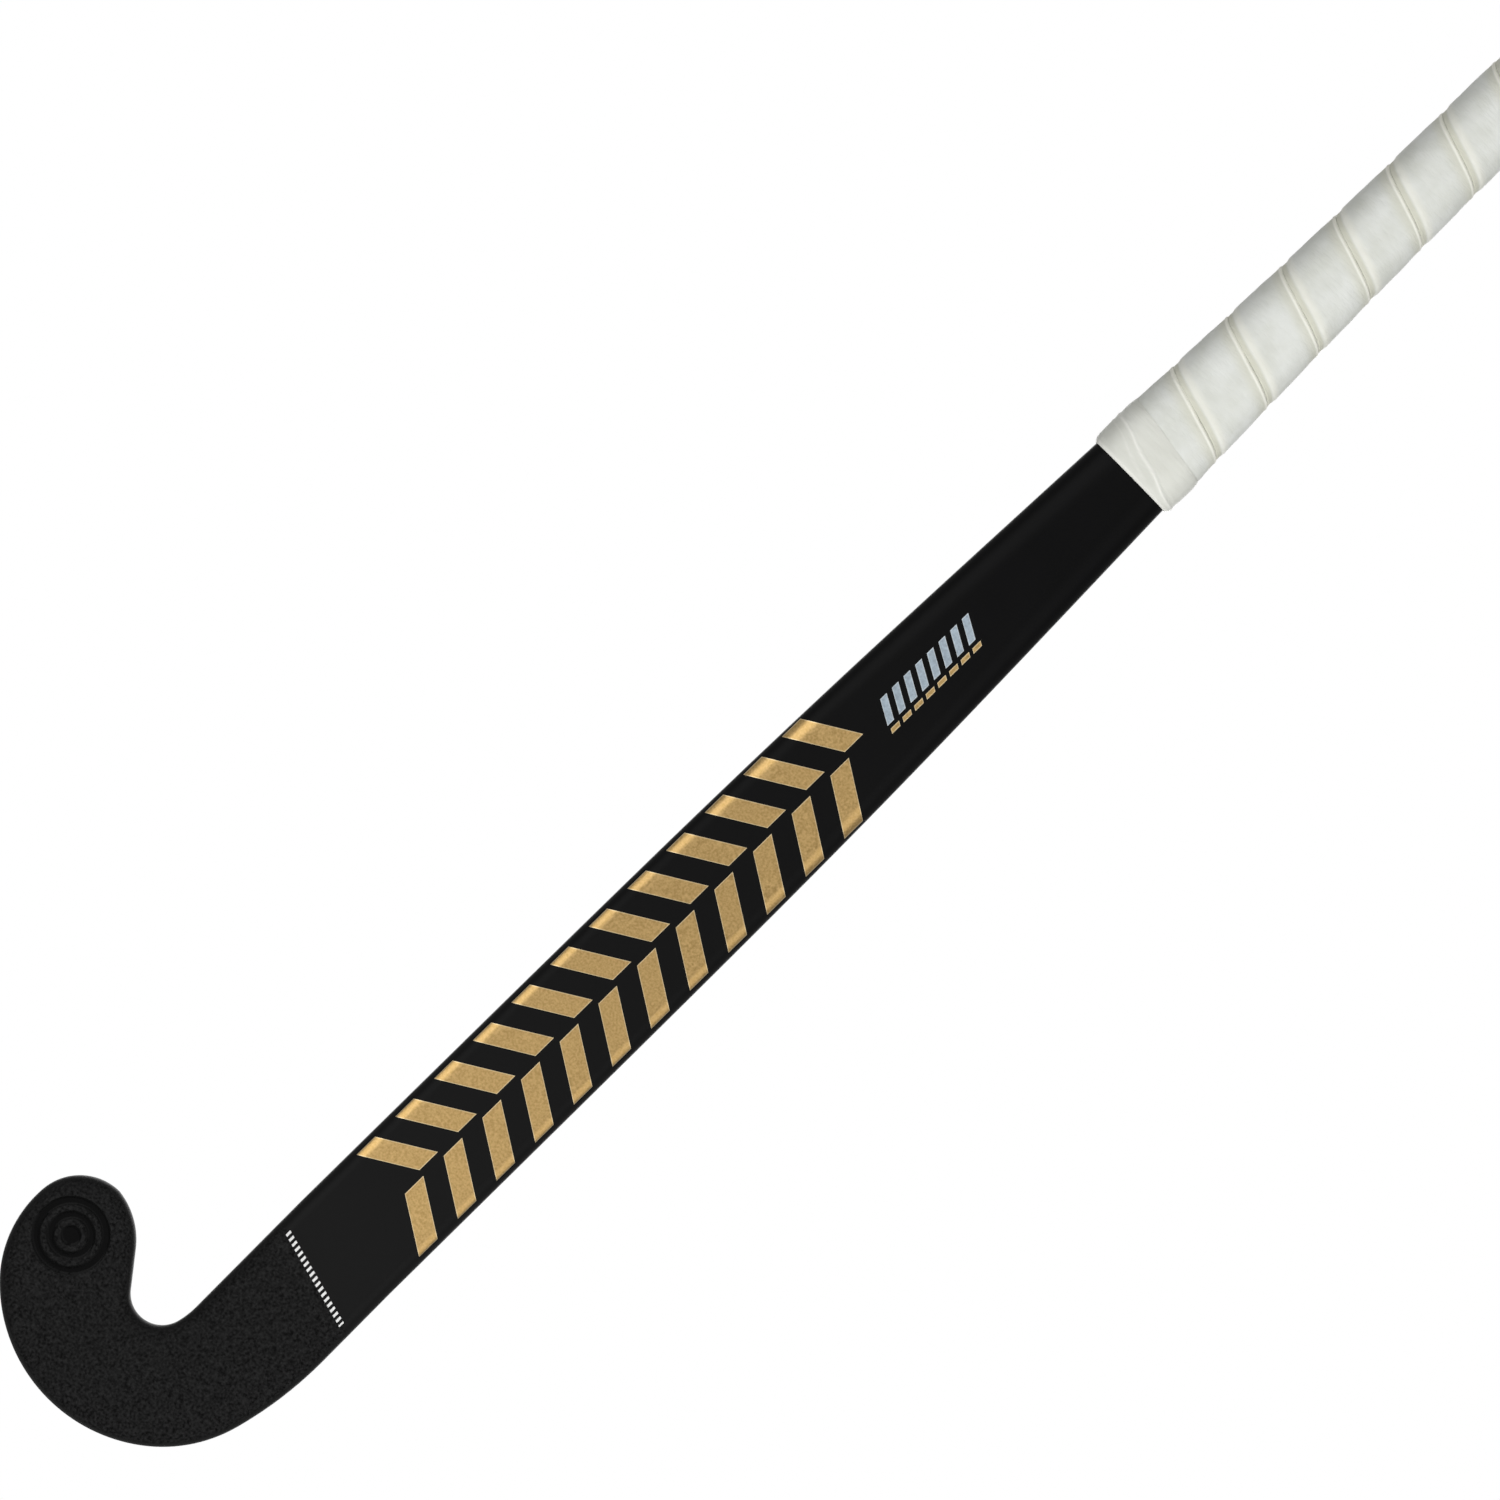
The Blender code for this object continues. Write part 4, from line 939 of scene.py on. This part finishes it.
def make_world():
    """White to the camera, pale in what mirrors or lets light through, and weaker on everything else."""
    world = bpy.data.worlds.new("studio")
    bpy.context.scene.world = world
    world.use_nodes = True
    tree = world.node_tree
    path = add(tree, "ShaderNodeLightPath").outputs
    mirrored = add(tree, "ShaderNodeMath", {0: path["Is Glossy Ray"], 1: path["Is Transmission Ray"]},
                   operation="MAXIMUM").outputs[0]
    unseen = add(tree, "ShaderNodeMapRange", {"Value": mirrored, "To Min": WORLD_LIGHT,
                                              "To Max": WORLD_MIRRORED}).outputs["Result"]
    level = add(tree, "ShaderNodeMapRange", {"Value": path["Is Camera Ray"], "To Min": unseen,
                                             "To Max": 1.0}).outputs["Result"]
    background = tree.nodes["Background"]
    background.inputs["Color"].default_value = (1.0, 1.0, 1.0, 1.0)
    tree.links.new(level, background.inputs["Strength"])


def make_floor():
    """A pale round floor far below the stick, raised to white for the camera alone."""
    angle = np.linspace(0.0, 2.0 * math.pi, FLOOR_STEPS, endpoint=False)
    ring = np.stack([FLOOR_RADIUS * np.cos(angle), FLOOR_RADIUS * np.sin(angle),
                     np.full(FLOOR_STEPS, FLOOR_HEIGHT)], 1)
    floor = loft("floor", np.stack([ring, ring * (0.5, 0.5, 1.0)]), None, (0.0, 0.0, FLOOR_HEIGHT))
    # White wall paint, rolled on: an even, matt, pale grey
    paint = make_plain("painted_floor", "f4f4f4", "f8f8f8", 0.3, 0.9, 0.0)
    tree = paint.node_tree
    seen = add(tree, "ShaderNodeLightPath").outputs["Is Camera Ray"]
    glow = add(tree, "ShaderNodeMapRange", {"Value": seen, "To Max": FLOOR_GLOW}).outputs["Result"]
    shader = tree.nodes["Principled BSDF"]
    shader.inputs["Emission Color"].default_value = (1.0, 1.0, 1.0, 1.0)
    tree.links.new(glow, shader.inputs["Emission Strength"])
    floor.data.materials.append(paint)


def make_camera():
    """A long lens square to the hitting side, rolled so that the stick lies across the picture."""
    data = bpy.data.cameras.new("camera")
    data.lens = FILM_WIDTH * -CAMERA_PLACE[1] / PICTURE_WIDTH
    data.sensor_width = FILM_WIDTH
    data.clip_end = 50.0
    camera = bpy.data.objects.new("camera", data)
    x, z = CAMERA_RIGHT
    turn = Matrix(((x, 0.0, z), (-z, 0.0, x), (0.0, -1.0, 0.0))).transposed().to_4x4()
    camera.matrix_world = Matrix.Translation(CAMERA_PLACE) @ turn
    bpy.context.scene.collection.objects.link(camera)
    bpy.context.scene.camera = camera


def repaint(node, material):
    """Put a material on a CAD node that stays in the scene."""
    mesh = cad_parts[node].data
    mesh.materials.clear()
    mesh.materials.append(material)


def main():
    """Make every piece, repaint the hidden CAD nodes, and set up the studio."""
    bpy.context.scene.view_settings.view_transform = "Standard"
    make_body(make_body_lacquer())
    # The third colour of each foil is the painted highlight along its border
    make_prints(make_foil("gold_foil", "b9985f", "d3b178", "f4dfb4"),
                make_foil("silver_foil", "a6b5c1", "bccbd6", "dfe7ec"), make_print_ink())
    make_grip(make_grip_foam())
    make_tape(make_tape_vinyl())
    # Rubber pressed in a blasted mould: black, dull and finely grained
    make_cap(make_plain("moulded_rubber", "0c0c0c", "171717", 0.0008, 0.75, 0.00004))
    # Aramid cloth set in resin: a warm sheet with the cloth's weave just felt through it
    repaint("impact_ply", make_plain("aramid_laminate", "a98a35", "c7a850", 0.0012, 0.55, 0.0001))
    # Foam blown in the mould: pale, dull and full of small cells
    repaint("head_core", make_plain("rigid_polyurethane_foam", "b89a68", "d4bb8c", 0.0010, 0.9, 0.0003))
    # Carbon cloth pressed against a bladder: dark grey with a dull resin sheen
    tube = make_plain("carbon_laminate", "101011", "1d1d1f", 0.0015, 0.45, 0.00005)
    repaint("inner_tube_toe", tube)
    repaint("inner_tube_heel", tube)
    # Foam block sawn to size: light grey and open-celled
    repaint("handle_plug", make_plain("sawn_foam", "9c9c94", "b6b6ae", 0.0012, 0.9, 0.0003))
    make_world()
    make_floor()
    soft_box("key", (0.93, -1.12, -1.08), 0.9, 16.2, glossy=False)
    soft_box("above", (-0.20, -2.61, 0.68), 1.7, 11.1)
    soft_box("front", (-0.10, -0.95, -0.98), 0.7, 0.55)
    soft_box("toe_side", (-1.54, -1.97, -0.20), 1.5, 15.0, glossy=False)
    soft_box("toe_sheen", (-1.78, -1.76, 0.35), 2.4, 31.0, diffuse=False)
    soft_box("heel_side", (1.75, -1.80, -0.20), 1.5, 9.0, glossy=False)
    soft_box("heel_sheen", (1.80, -1.78, 0.35), 2.5, 19.0, diffuse=False)
    soft_box("behind", (0.0, 3.0, 0.2), 3.0, 64.0)
    make_camera()


main()
